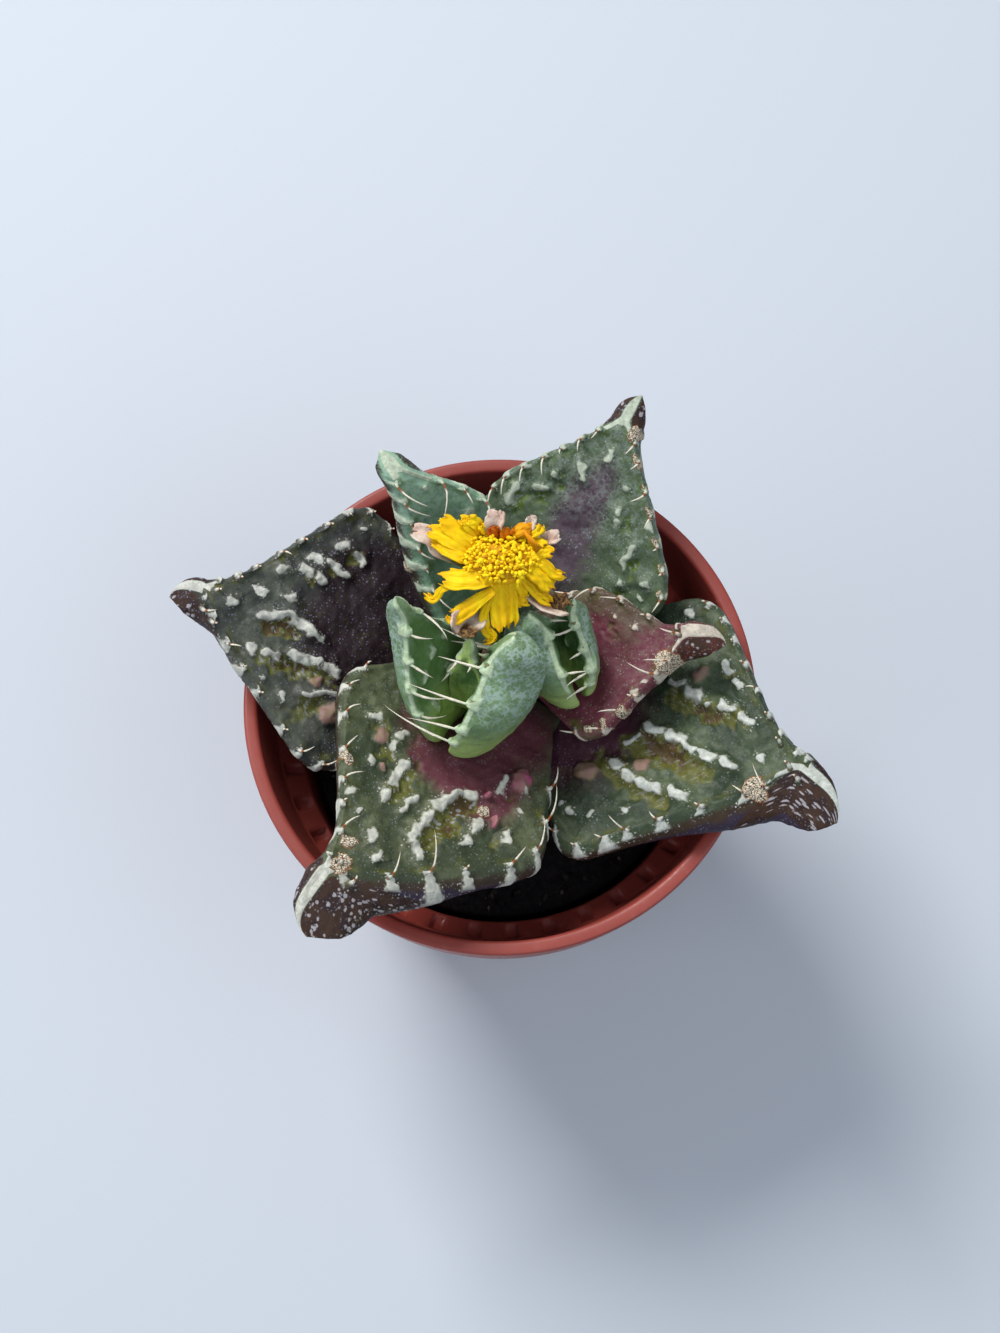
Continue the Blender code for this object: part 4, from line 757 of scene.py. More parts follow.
def leafSurface(form, seed):
    around, rings = form["fine"]
    bm = leafGrid(around, rings)
    mesh = bpy.data.meshes.new(form["node"])
    bm.to_mesh(mesh)
    bm.free()
    flat = np.empty(len(mesh.vertices) * 3)
    mesh.vertices.foreach_get("co", flat)
    flat = flat.reshape(-1, 3)
    row = np.rint((flat[:, 2] + 0.5) * (rings - 1)).astype(int)
    column = np.rint((np.arctan2(flat[:, 1], flat[:, 0]) / (2 * math.pi)) % 1 * around).astype(int) % around
    # u runs along the leaf and share round its cross section: left to right over the top, then back below
    t = np.linspace(0, 1, rings)[:, None]
    start = -(2.0 if form["length"] > bigLeaf else 0.6) / form["length"]
    u = start + (1 - start) * (0.72 * t + 0.28 * np.sin(t * math.pi / 2))
    share = np.arange(around)[None, :] / around
    s = np.clip(1 - 2 * share / deckShare, -1, 1) + 0 * u
    onDeck = np.repeat(share <= deckShare, rings, axis=0)
    sideOf = np.where(onDeck, np.sign(s) + (s == 0), np.where(share < (1 + deckShare) / 2, -1, 1)) + 0 * u
    decks = {side: deckHalf(form, np.maximum(u, 0.0), side) for side in (1, -1)}
    deckEdge = np.where(sideOf > 0, decks[1], decks[-1])
    # the flank is a curve from the edge of the upper face round to the keel
    flank = (share - deckShare) / (1 - deckShare)
    down = np.where(sideOf < 0, 2 * flank, 2 * (1 - flank))
    depth, dropped = keelDepth(form, u), tipDrop(form, u)
    width = np.where(sideOf > 0, flankHalf(form, u, decks[1], 1), flankHalf(form, u, decks[-1], -1))
    narrow = form["cheek"] + 0.25 * (1 - np.clip((u - 0.4) / 0.4, 0, 1))
    edge = deckHeight(form, u, 1.0)
    shift = form["lean"] * np.clip((u - form["shoulder"] + 0.16) / 0.16, 0, 1) ** 1.5
    top, bulge, cheek, keel = (1 - down) ** 3, 3 * down * (1 - down) ** 2, 3 * down**2 * (1 - down), down**3
    flankAcross = sideOf * (top * deckEdge + bulge * width * 1.18 + cheek * narrow * width * 1.5)
    flankAcross = flankAcross + shift * (top + 0.5 * bulge)
    flankUp = top * edge + bulge * (edge - 0.30 * (depth - dropped * 0.6)) - cheek * depth * 0.96 - keel * depth
    across = np.where(onDeck, s * deckEdge + shift, flankAcross)
    up = np.where(onDeck, deckHeight(form, u, s), flankUp)
    for turn in range(3):  # rounds the margin
        across = 0.5 * across + 0.25 * (np.roll(across, 1, 1) + np.roll(across, -1, 1))
        up = 0.5 * up + 0.25 * (np.roll(up, 1, 1) + np.roll(up, -1, 1))
    shrink = np.sqrt(np.clip(1 - np.clip((u - 0.93) / 0.07, 0, 1) ** 2.4, 0.0009, 1))
    if form["heel"]:  # the root is rounded off where it shows
        root = np.clip((form["heel"] - u) / (form["heel"] - start), 0, 1)
        shrink = shrink * np.sqrt(np.clip(1 - root**2.2, 0.0009, 1))
    middle = (up.max(1, keepdims=True) + up.min(1, keepdims=True)) / 2
    across, up = across * shrink, middle + (up - middle) * shrink
    # arc length from the margins, minus on the upper face
    step = np.hypot(np.roll(across, -1, 1) - across, np.roll(up, -1, 1) - up)
    run = np.concatenate([np.zeros((rings, 1)), np.cumsum(step, 1)[:, :-1]], 1)
    rightEdge = run[:, int(round(deckShare * around))][:, None]
    toLeft = np.where(onDeck, -run, step.sum(1, keepdims=True) - run)
    fromMargin = np.where(sideOf > 0, toLeft, run - rightEdge)
    fields = leafFields(form, seed, u + 0 * share, across, deckEdge, fromMargin, sideOf, onDeck)
    # the relief stands out square to the surface
    slopes = [np.roll(values, -1, 1) - np.roll(values, 1, 1) for values in (across, up)]
    size = np.maximum(np.hypot(*slopes), 1e-6)
    height = fields.pop("height") * np.clip(shrink * 1.2 - 0.2, 0, 1) * np.clip(u / 0.1, 0, 1)
    across = across + height * slopes[1] / size
    up = up - height * slopes[0] / size
    points = onLeaf(form, u + 0 * share, across, up)[:, row, column].T * mm
    mesh.vertices.foreach_set("co", points.ravel())
    for name, values in fields.items():
        layer = mesh.attributes.new(name, "FLOAT", "POINT")
        layer.data.foreach_set("value", np.ascontiguousarray(values[row, column], np.float32))
    mesh.attributes.new("bone", "FLOAT", "POINT")
    mesh.shade_smooth()
    mesh.update()
    return mesh


def gather(whole, part):
    # small pieces are made on their own and then added, which is much quicker
    mesh = bpy.data.meshes.new("part")
    part.to_mesh(mesh)
    part.free()
    whole.from_mesh(mesh)
    bpy.data.meshes.remove(mesh)


def tube(whole, path, radii, sides, values=None):
    # a circle drawn along the path by extruding its edge, closed in a point
    bm = bmesh.new()
    layer = bm.verts.layers.float.new("bone") if values else None
    before, edges = None, []
    side = (path[1] - path[0]).cross(Vector((0, 0, 1)))
    if side.length < 1e-6:
        side = (path[1] - path[0]).cross(Vector((1, 0, 0)))

    def grow():
        grown = bmesh.ops.extrude_edge_only(bm, edges=edges)["geom"]
        verts = [item for item in grown if isinstance(item, bmesh.types.BMVert)]
        lines = [item for item in grown if isinstance(item, bmesh.types.BMEdge)]
        return verts, [line for line in lines if all(vert in verts for vert in line.verts)]

    def mark(ring, value):
        if layer is not None:
            for vert in ring:
                vert[layer] = value

    for i, point in enumerate(path[:-1]):
        ahead = (path[i + 1] - path[max(i - 1, 0)]).normalized()
        side = (side - ahead * side.dot(ahead)).normalized()
        frameOf = Matrix((side, ahead.cross(side), ahead)).transposed().to_4x4()
        now = Matrix.Translation(point) @ frameOf @ Matrix.Scale(radii[i], 4)
        if before is None:
            ring = bmesh.ops.create_circle(bm, cap_ends=True, segments=sides, radius=1, matrix=now)["verts"]
            edges = list({edge for vert in ring for edge in vert.link_edges})
        else:
            ring, edges = grow()
            bmesh.ops.transform(bm, matrix=now @ before.inverted(), verts=ring)
        mark(ring, values[i] if values else 0)
        before = now
    ring, edges = grow()
    mark(ring, values[-1] if values else 0)
    bmesh.ops.pointmerge(bm, verts=ring, merge_co=path[-1])
    bmesh.ops.recalc_face_normals(bm, faces=bm.faces)
    gather(whole, bm)


# each step of a tooth's foot is (ahead, out, up, thickness, bone), as shares of its size
toothFoot = (
    (0.15, -0.40, -0.95, 0.42, 0.0), (0.18, 0.0, 0.06, 0.32, 0.02), (0.0, 0.18, 0.36, 0.20, 0.09),
    (-0.22, 0.22, 0.68, 0.12, 0.24),
)
bristle = {"steps": 6, "thick": 0.105, "thin": 0.014, "sides": 6}


def leafTeeth(form, seed, mesh):
    luck = random.Random(seed)
    bm = bmesh.new()
    back, inward, lift = form["sweep"]
    taper = form["taper"]
    stout = min(1.0, form["length"] / 26) ** 0.5
    for which, (side, teeth) in enumerate(((1, form["teethLeft"]), (-1, form["teethRight"]))):
        for where in teeth:
            where = where + luck.uniform(-0.006, 0.006)
            deck = float(deckHalf(form, np.float64(where), side))
            level = float(deckHeight(form, np.float64(where), 1.0))
            size = luck.uniform(0.60, 1.1) * stout
            broken = luck.random() < form["broken"][which]
            far = form["bristle"][which] * (luck.uniform(0.08, 0.25) if broken else luck.uniform(0.55, 1.25))
            sway = luck.uniform(-0.6, 0.5)
            arch = luck.uniform(0.05, 0.30) * far
            steps = [(a * size, b * size, c * size, d * size * taper, e) for a, b, c, d, e in toothFoot]
            for k in range(1, bristle["steps"] + 1):
                t = k / bristle["steps"]
                ahead = -0.30 * size - far * back * (t + 0.25 * sway * t * t)
                outward = 0.22 * size - far * (inward + sway) * t**1.4
                bow = arch * 4 * t * (1 - 0.62 * t)
                thick = bristle["thick"] * taper * (1 - t) ** (0.8 * taper) + bristle["thin"]
                steps.append((ahead, outward, 0.90 * size + far * lift * t + bow, thick, 0.34 + 0.62 * t))
            path = []
            for ahead, outward, rise, _, _ in steps:
                u = np.float64(where + ahead / form["length"])
                path.append(Vector(onLeaf(form, u, side * (deck + outward), level + rise)))
            tube(bm, path, [step[3] for step in steps], bristle["sides"], [step[4] for step in steps])
    bmesh.ops.scale(bm, vec=(mm, mm, mm), verts=bm.verts)
    bm.from_mesh(mesh)
    for face in bm.faces:
        face.smooth = True
    bm.to_mesh(mesh)
    bm.free()


skinsMade = {name: leafSkin("leafSkin" + name.capitalize(), own) for name, own in skins.items()}
for seed, (name, own) in enumerate(leafForms.items(), 1):
    form = {**leafShared, **(shootShared if own["skin"] == "shoot" else {}), **own}
    mesh = leafSurface(form, seed)
    leafTeeth(form, seed, mesh)
    dress(place(name, mesh, [form["node"]]), skinsMade[form["skin"]])
print("leaves grown:", len(leafForms))

# pot: slot widths are shares of the spacing, measured each way from the middle of a slot
pot = {
    "height": 48.0, "rim": 27.5, "wall": 1.2, "collar": 11.0, "collarFoot": 26.3, "collarWall": 1.6, "bodyTop": 23.4,
    "base": 19.2, "floor": 1.8, "ledge": (36.9, 39.4), "corner": 0.45, "steps": 288, "slots": 36, "slotTurn": 0.3,
    "slotHalf": 0.14, "slotEdge": 0.08, "slotDepth": 0.6, "holes": 5, "holeRadius": 2.0, "holeCircle": 12.0,
}
axis = 0.0001  # radius of a profile's ends, which the spin closes


def spun(profile, steps):
    bm = bmesh.new()
    verts = [bm.verts.new((radius, 0, height)) for radius, height in profile]
    edges = [bm.edges.new(pair) for pair in zip(verts, verts[1:])]
    bmesh.ops.spin(
        bm, geom=verts + edges, cent=(0, 0, 0), axis=(0, 0, 1), angle=2 * math.pi, steps=steps, use_merge=True
    )
    bmesh.ops.remove_doubles(bm, verts=bm.verts, dist=0.0005)
    bmesh.ops.recalc_face_normals(bm, faces=bm.faces)
    return bm


def rounded(profile, size):
    # swaps each corner but the first and the last for a short arc
    out = [profile[0]]
    for last, point, following in zip(profile, profile[1:], profile[2:]):
        corner, last, following = Vector(point), Vector(last), Vector(following)
        a = corner + (last - corner).normalized() * min(size, (last - corner).length * 0.45)
        b = corner + (following - corner).normalized() * min(size, (following - corner).length * 0.45)
        for k in range(6):
            t = k / 5
            out.append(tuple(a * (1 - t) ** 2 + corner * 2 * t * (1 - t) + b * t * t))
    return out + [profile[-1]]


def drilled(piece):
    # the drain holes through the floor
    bm = bmesh.new()
    radius = pot["holeRadius"]
    for k in range(pot["holes"]):
        turn = 2 * math.pi * k / pot["holes"]
        spot = (pot["holeCircle"] * math.cos(turn), pot["holeCircle"] * math.sin(turn), pot["floor"] / 2)
        bmesh.ops.create_cone(
            bm, cap_ends=True, segments=32, radius1=radius, radius2=radius, depth=pot["floor"] + 0.8,
            matrix=Matrix.Translation(spot),
        )
    drill = bpy.data.objects.new("drill", finishMesh(bm, "drill"))
    scene.collection.objects.link(drill)
    cut = piece.modifiers.new("drainHoles", "BOOLEAN")
    cut.operation, cut.solver, cut.object = "DIFFERENCE", "EXACT", drill
    bpy.context.view_layer.update()
    mesh = bpy.data.meshes.new_from_object(piece.evaluated_get(bpy.context.evaluated_depsgraph_get()))
    piece.modifiers.clear()
    piece.data = mesh
    bpy.data.objects.remove(drill)
    for face in mesh.polygons:  # the two flat sides of the floor
        if abs(face.normal.z) > 0.99 and face.center.z < (pot["floor"] + 0.2) * mm:
            face.use_smooth = False
    return piece


def makePot():
    foot = pot["height"] - pot["collar"]
    wellTop, wellFoot = pot["bodyTop"] - pot["wall"], pot["base"] - pot["wall"]
    ledgeTop = pot["collarFoot"] - pot["collarWall"]
    profile = [
        (axis, pot["floor"]), (wellFoot, pot["floor"]), (wellTop, pot["ledge"][0]), (ledgeTop, pot["ledge"][1]),
        (pot["rim"] - 1.5, pot["height"] - 0.1), (pot["rim"], pot["height"]), (pot["rim"] - 0.05, pot["height"] - 1.1),
        (pot["collarFoot"], foot), (pot["bodyTop"], foot - 0.5), (pot["base"] + 0.1, 0.2), (pot["base"] - 0.5, 0),
        (axis, 0),
    ]
    bm = spun(rounded(profile[:-1], pot["corner"]) + profile[-1:], pot["steps"])
    # slots sunk in the ledge inside the collar
    spacing = 2 * math.pi / pot["slots"]
    picked = []
    for face in bm.faces:
        spot = face.calc_center_median()
        radius = math.hypot(spot.x, spot.y)
        if wellTop + 0.4 < radius < ledgeTop - 0.4 and pot["ledge"][0] + 0.3 < spot.z < pot["ledge"][1] - 0.3:
            along = (math.atan2(spot.y, spot.x) / spacing - pot["slotTurn"]) % 1
            if min(along, 1 - along) < pot["slotHalf"]:
                picked.append(face)
    bmesh.ops.inset_region(
        bm, faces=picked, thickness=pot["slotEdge"], depth=-pot["slotDepth"], use_even_offset=True
    )
    return drilled(place("potShell", finishMesh(bm, "potShell"), ["pot"]))


def potSkin():
    made, tree, shader = newMaterial("potPlastic", rough=0.42, specular=0.4)
    spot = here(tree)
    broad = cloud(tree, spot, 14.0, 3)
    fine = cloud(tree, spot, 0.7, 4, 0.6)
    drawn = cloud(tree, here(tree, (1, 1, 0.08)), 1.2, 3)
    base = mixed(tree, ramp(tree, broad, 0.3, 0.7), (0.235, 0.037, 0.028), (0.268, 0.049, 0.037))
    base = mixed(tree, ramp(tree, drawn, 0.45, 0.75, 0.0, 0.25), base, (0.23, 0.046, 0.036))
    dust = ramp(tree, cloud(tree, spot, 2.2, 5, 0.7), 0.55, 0.75)
    dust = product(tree, dust, ramp(tree, fine, 0.45, 0.7, 0.0, 0.3))
    base = mixed(tree, dust, base, (0.42, 0.22, 0.18))
    plug(tree, shader.inputs["Base Color"], base)
    plug(tree, shader.inputs["Roughness"], ramp(tree, fine, 0.2, 0.8, 0.34, 0.52))
    translucent(shader, 0.04, (1.0, 0.25, 0.15))
    bumped(tree, shader, added(tree, fine, drawn, 0.6), 0.02, 0.5)
    return made


dress(makePot(), potSkin())
print("pot turned")

soil = {
    "bottom": 2.4, "edge": 34.4, "crown": 36.6, "radius": 21.3, "foot": 18.0, "steps": 96, "rings": 25,
    "lumps": ((0.35, 2.0, 7.0), (0.22, 4.0, 2.6)),  # (height, seed, size)
    "grains": 620, "grainSizes": (0.25, 0.3, 0.4, 0.5, 0.7, 0.9), "grainShades": (0, 0, 0, 0.3, 0.5, 1.0),
}


def makeSoil():
    rim = soil["radius"] - 0.3
    swelling = soil["crown"] - soil["edge"]
    profile = [
        (axis, soil["bottom"]), (soil["foot"] - 0.6, soil["bottom"]), (rim + 0.1, soil["edge"] - 1.0),
        (rim, soil["edge"]),
    ]
    for i in range(1, soil["rings"] + 1):
        t = i / soil["rings"]
        profile.append((rim * (1 - t) + axis * t, soil["edge"] + swelling * t))
    bm = spun(profile, soil["steps"])
    for vert in bm.verts:
        if vert.co.z > soil["edge"] - 0.3:
            x, y = vert.co.x, vert.co.y
            fade = min(1.0, (soil["radius"] - math.hypot(x, y)) / 1.5)
            vert.co.z += fade * sum(height * wobble(x, y, seed, size) for height, seed, size in soil["lumps"])
    luck = random.Random(5)
    tone = bm.verts.layers.float.new("tone")
    for i in range(soil["grains"]):
        radius = (soil["radius"] - 0.9) * math.sqrt(luck.random())
        turn = luck.uniform(0, 2 * math.pi)
        size = luck.choice(soil["grainSizes"]) * luck.uniform(0.7, 1.2)
        level = soil["edge"] + swelling * (1 - radius / soil["radius"]) + 0.1 + 0.2 * size
        spot = Matrix.Translation((radius * math.cos(turn), radius * math.sin(turn), level))
        spot = spot @ Matrix.Rotation(luck.uniform(0, 6), 4, (luck.random(), luck.random(), 1))
        spot = spot @ Matrix.Diagonal((size, size * luck.uniform(0.5, 0.9), size * luck.uniform(0.4, 0.8), 1))
        made = bmesh.ops.create_icosphere(bm, subdivisions=1, radius=0.7, matrix=spot)["verts"]
        shade = luck.choice(soil["grainShades"]) * luck.random()
        for vert in made:
            vert[tone] = shade
    return place("potMix", finishMesh(bm, "potMix"), ["soil"])


def soilSkin():
    made, tree, shader = newMaterial("pottingMix", rough=0.95, specular=0.2)
    spot = here(tree)
    # painted shade: near-black and bluish, in clouds over the dark brown peat
    peatAndShade = ramp(tree, cloud(tree, spot, 0.8, 6, 0.7), 0.35, 0.7)
    base = mixed(tree, peatAndShade, (0.0035, 0.0035, 0.006), (0.016, 0.013, 0.012))
    base = mixed(tree, field(tree, "tone"), base, (0.10, 0.085, 0.065))
    plug(tree, shader.inputs["Base Color"], base)
    bumped(tree, shader, cloud(tree, spot, 0.35, 5, 0.75), 0.25, 0.9)
    return made


dress(makeSoil(), soilSkin())
print("soil filled")

stem = {"radius": 2.6, "foot": 27.2, "top": 50.6, "centre": (0.4, 4.0), "rings": 40, "scars": 16}


def makeStem():
    # ringed by old leaf scars
    profile = [(axis, stem["foot"])]
    for i in range(stem["rings"]):
        t = i / (stem["rings"] - 1)
        radius = stem["radius"] * (0.86 + 0.1 * abs(math.sin(t * stem["scars"])))
        profile.append((radius, stem["foot"] + (stem["top"] - stem["foot"]) * t))
    profile.append((axis, stem["top"]))
    bm = spun(profile, 40)
    for vert in bm.verts:
        turn = math.atan2(vert.co.y, vert.co.x)
        k = 1 + 0.04 * math.sin(7 * turn + vert.co.z) + 0.03 * math.sin(13 * turn - 2 * vert.co.z)
        vert.co.x, vert.co.y = vert.co.x * k + stem["centre"][0], vert.co.y * k + stem["centre"][1]
    return place("woodyCrown", finishMesh(bm, "woodyCrown"), ["stem"])


def stemSkin():
    made, tree, shader = newMaterial("woodyCrown", rough=0.85, specular=0.25)
    grain = cloud(tree, here(tree, (1, 1, 0.25)), 0.8, 5, 0.65)
    base = mixed(tree, ramp(tree, grain, 0.35, 0.65), (0.05, 0.032, 0.018), (0.20, 0.14, 0.085))
    plug(tree, shader.inputs["Base Color"], base)
    bumped(tree, shader, grain, 0.3, 0.8)
    return made


dress(makeStem(), stemSkin())
print("stem set")

# Flower. Straps are (points along the middle, width, share of orange or hollow), from the middle of the stamens.
flower = {"centre": (0.2, 10.5, 65.5), "lean": 20.0, "anthers": 360, "spread": (4.0, 3.4)}
petals = (
    (((-2.6, 0.6, -0.8), (-3.9, 1.6, 0.1), (-5.2, 2.7, 0.5), (-6.4, 3.4, 0.9)), 1.9, 0.15),
    (((-2.8, 0.0, -0.9), (-4.4, 1.0, 0.1), (-6.1, 2.0, 0.2), (-7.7, 2.4, 0.3)), 2.0, 0.2),
    (((-2.8, -0.5, -0.9), (-4.2, -0.1, -0.1), (-5.5, 0.7, -0.2), (-7.2, 1.6, -0.3)), 1.9, 0.05),
    (((-2.2, 1.7, -1.0), (-3.0, 2.5, 0.2), (-3.7, 3.1, 0.7), (-4.3, 3.4, 0.9)), 1.3, 0.1),
    (((-1.7, 2.5, -1.2), (-2.2, 2.8, 0.3), (-3.0, 3.1, 0.9), (-3.4, 3.4, 1.0)), 1.3, 0.1),
    (((-0.6, -2.5, -0.5), (-2.2, -2.7, 0.1), (-4.2, -2.6, -0.2), (-6.6, -2.0, -0.9)), 2.4, 0.0),
    (((-4.0, -3.2, -0.6), (-5.9, -3.3, -1.4), (-6.9, -4.1, -2.4), (-8.0, -3.4, -2.6)), 0.8, 0.1),
    (((-0.8, -3.7, -0.6), (-2.2, -4.5, -1.2), (-3.5, -5.2, -2.2), (-4.7, -5.8, -3.0), (-5.5, -5.4, -2.8)), 1.7, 0.0),
    (
        (
            (-0.8, -3.8, -0.9), (-1.5, -4.9, -1.8), (-1.8, -5.8, -2.8), (-1.6, -6.9, -3.6), (-0.9, -7.6, -4.2),
            (-2.0, -8.1, -4.6),
        ),
        1.0, 0.0,
    ),
    (((-1.3, -7.0, -3.7), (-1.1, -7.6, -4.2), (-1.3, -8.2, -4.6)), 0.5, 0.2),
    (((-0.5, -2.9, -0.4), (-0.3, -4.1, -1.2), (-0.1, -5.6, -2.4), (0.1, -7.5, -3.4)), 2.2, 0.2),
    (((0.5, -2.6, -0.5), (0.8, -4.0, -1.4), (0.9, -5.5, -2.6), (0.9, -6.9, -3.4)), 1.6, 0.0),
    (((0.8, -2.3, -0.4), (1.5, -3.3, -1.2), (1.8, -4.1, -2.0), (2.3, -4.7, -2.6)), 2.0, 0.0),
    (((1.4, -3.4, -1.4), (1.9, -4.2, -2.3), (2.9, -4.5, -2.5)), 0.8, 0.1),
    (((1.9, -2.2, -0.7), (2.9, -3.0, -1.3), (4.1, -4.0, -2.0), (5.2, -4.6, -2.4)), 1.2, 0.0),
    (((1.7, -1.5, -0.4), (3.1, -1.9, 0.1), (4.4, -2.6, -0.6), (5.3, -3.5, -1.5)), 2.0, 0.0),
    (((2.6, -1.9, -0.9), (3.6, -3.0, -1.5), (4.7, -3.8, -2.0)), 1.3, 0.0),
    (((2.5, -1.1, -0.5), (4.1, -1.1, 0.0), (5.3, -2.0, -0.6), (6.6, -2.2, -0.9)), 1.1, 0.15),
    (((1.9, -0.8, -0.3), (3.1, -0.4, 0.1), (4.3, 0.1, 0.2), (5.2, -0.2, 0.2)), 1.3, 0.0),
    (((2.6, 0.8, -0.6), (3.7, 1.0, 0.2), (4.2, 0.4, 0.5)), 1.2, 0.0),
    (((1.8, 1.7, -1.2), (2.8, 1.9, 0.4), (3.6, 2.2, 0.9), (3.8, 2.7, 1.2)), 1.2, 0.1),
    (((0.7, 1.8, -1.4), (1.4, 2.0, 0.6), (2.4, 2.3, 1.0), (3.2, 2.0, 0.6)), 1.3, 0.55),
    (((-0.4, 1.6, -1.5), (-0.6, 2.0, 0.4), (-0.8, 2.5, 1.2)), 1.7, 1.0),
    (((0.7, 1.5, -1.4), (0.5, 1.8, 0.5), (0.6, 2.4, 1.1)), 1.3, 0.85),
    (((-1.3, 2.3, -1.3), (-1.7, 2.4, 0.5), (-2.0, 2.8, 1.0)), 1.1, 0.1),
)
sepals = (
    (((-3.0, -0.3, -3.0), (-6.0, 0.9, -1.8), (-7.4, 2.0, -1.0), (-9.4, 2.4, -1.2)), 2.3, 0.4),
    (((-0.6, 1.8, -2.6), (-0.8, 2.6, 0.6), (-0.5, 3.3, 1.6), (-0.3, 4.0, 2.0)), 2.0, -0.5),
    (((2.4, 1.9, -2.4), (2.7, 2.4, 0.2), (3.0, 3.1, 1.0), (2.9, 3.7, 1.4)), 1.2, 0.2),
    (((2.6, 1.0, -2.8), (4.3, 1.4, -0.6), (5.2, 1.6, 0.2), (6.0, 1.7, 0.4)), 1.5, 0.2),
    (((1.6, -1.9, -2.8), (3.3, -3.4, -2.9), (5.1, -4.6, -3.0), (7.2, -5.4, -2.8)), 2.5, 0.9),
    (((-1.0, -3.0, -3.4), (-2.6, -5.2, -3.8), (-3.7, -6.7, -3.9), (-4.5, -7.9, -3.8)), 3.2, 1.0),
)
petalMake = {
    "folds": 2.4, "thick": 0.11, "seed": 0, "curls": (-0.12,) * len(petals), "disc": ((0, 0, -1.0), (3.5, 3.1, 1.0)),
    "discShade": 0.4,
}
sepalMake = {"folds": 1.2, "thick": 0.2, "seed": 40, "curls": (0.3, 0.2, 0.2, 0.2, 0.5, 0.55)}
stalk = {
    "neck": 6.0, "bends": (0.35, 0.6, 0.85), "cup": (0.0, 0.5, 1.0, 1.6, 2.4, 3.2, 3.7, 3.9), "sides": 28,
    "radii": (1.7, 1.55, 1.35, 1.3, 1.45, 1.75, 2.2, 2.55, 2.8, 3.0, 3.1, 3.0, 2.4),
}


def through(points, t):
    # smooth line through the points, t running from 0 to 1
    spots = [Vector(point) for point in points]
    spots = [2 * spots[0] - spots[1]] + spots + [2 * spots[-1] - spots[-2]]
    reached = min(max(t, 0.0), 0.99999) * (len(points) - 1)
    i, f = int(reached), reached - int(reached)
    a, b, c, d = spots[i : i + 4]
    return 0.5 * (2 * b + (c - a) * f + (2 * a - 5 * b + 4 * c - d) * f * f + (3 * b - a - 3 * c + d) * f**3)


def strap(bm, row, seed, folds, thick, layers, curl):
    points, width, extra = row
    luck = random.Random(seed)
    phase, twist = luck.uniform(0, 6), luck.uniform(-0.5, 0.5)
    bit = luck.uniform(0.05, 0.14)
    fresh = bmesh.ops.create_grid(bm, x_segments=30, y_segments=12, size=1)["verts"]
    centre = Vector(flower["centre"])
    for vert in fresh:
        t, v = (vert.co.x + 1) / 2, vert.co.y
        ragged = 1 - bit * (0.5 + 0.5 * math.sin(4.2 * v + phase)) - 0.06 * math.sin(11 * v + 2 * phase) ** 2
        run = t * ragged
        ahead = (through(points, run + 0.02) - through(points, run - 0.02)).normalized()
        side = ahead.cross(Vector((0, 0, 1))).normalized()
        over = side.cross(ahead)
        turned = Matrix.Rotation(twist * run * run, 3, ahead)
        side, over = turned @ side, turned @ over
        half = width / 2 * (0.55 + 0.45 * min(1, run / 0.4)) * (1 - 0.60 * max(0, (run - 0.74) / 0.26) ** 2)
        half *= 1 + 0.10 * math.sin(17 * run + phase + 2 * v) * run
        ripple = 0.075 * width * math.cos(math.pi * folds * v + phase + 1.5 * math.sin(3 * run + phase))
        ripple += 0.11 * run**2 * math.sin(13 * run + 4 * v + phase) + 0.05 * math.sin(29 * run + 9 * v)
        cup = curl * width * v * v * math.sin(1.8 * run) ** 1.5
        vert[layers[0]], vert[layers[1]], vert[layers[2]] = run, v + 0.01 * seed, extra
        vert.co = centre + through(points, run) + side * half * v + over * (ripple * (0.4 + 0.6 * run) + cup)
    faces = list({face for vert in fresh for face in vert.link_faces})
    bmesh.ops.recalc_face_normals(bm, faces=faces)
    bmesh.ops.solidify(bm, geom=faces, thickness=thick)


def straps(rows, make):
    bm = bmesh.new()
    layers = [bm.verts.layers.float.new(key) for key in ("along", "across", "orange")]
    for i, (row, curl) in enumerate(zip(rows, make["curls"])):
        strap(bm, row, make["seed"] + i, make["folds"], make["thick"], layers, curl)
    return bm, layers


def flowerFrame():
    return Matrix.Translation(flower["centre"]) @ Matrix.Rotation(-math.radians(flower["lean"]), 4, "X")


def pillow(bm, middle, size, around, up):
    matrix = flowerFrame() @ Matrix.Translation(middle) @ Matrix.Diagonal((*size, 1))
    return bmesh.ops.create_uvsphere(bm, u_segments=around, v_segments=up, radius=1, matrix=matrix)["verts"]


def makePetals():
    bm, layers = straps(petals, petalMake)
    # the disc under the stamens gets painted shade through its share of orange
    for vert in pillow(bm, *petalMake["disc"], 40, 16):
        vert[layers[2]] = petalMake["discShade"]
    return place("limpPetals", finishMesh(bm, "limpPetals"), ["flower_petals"])


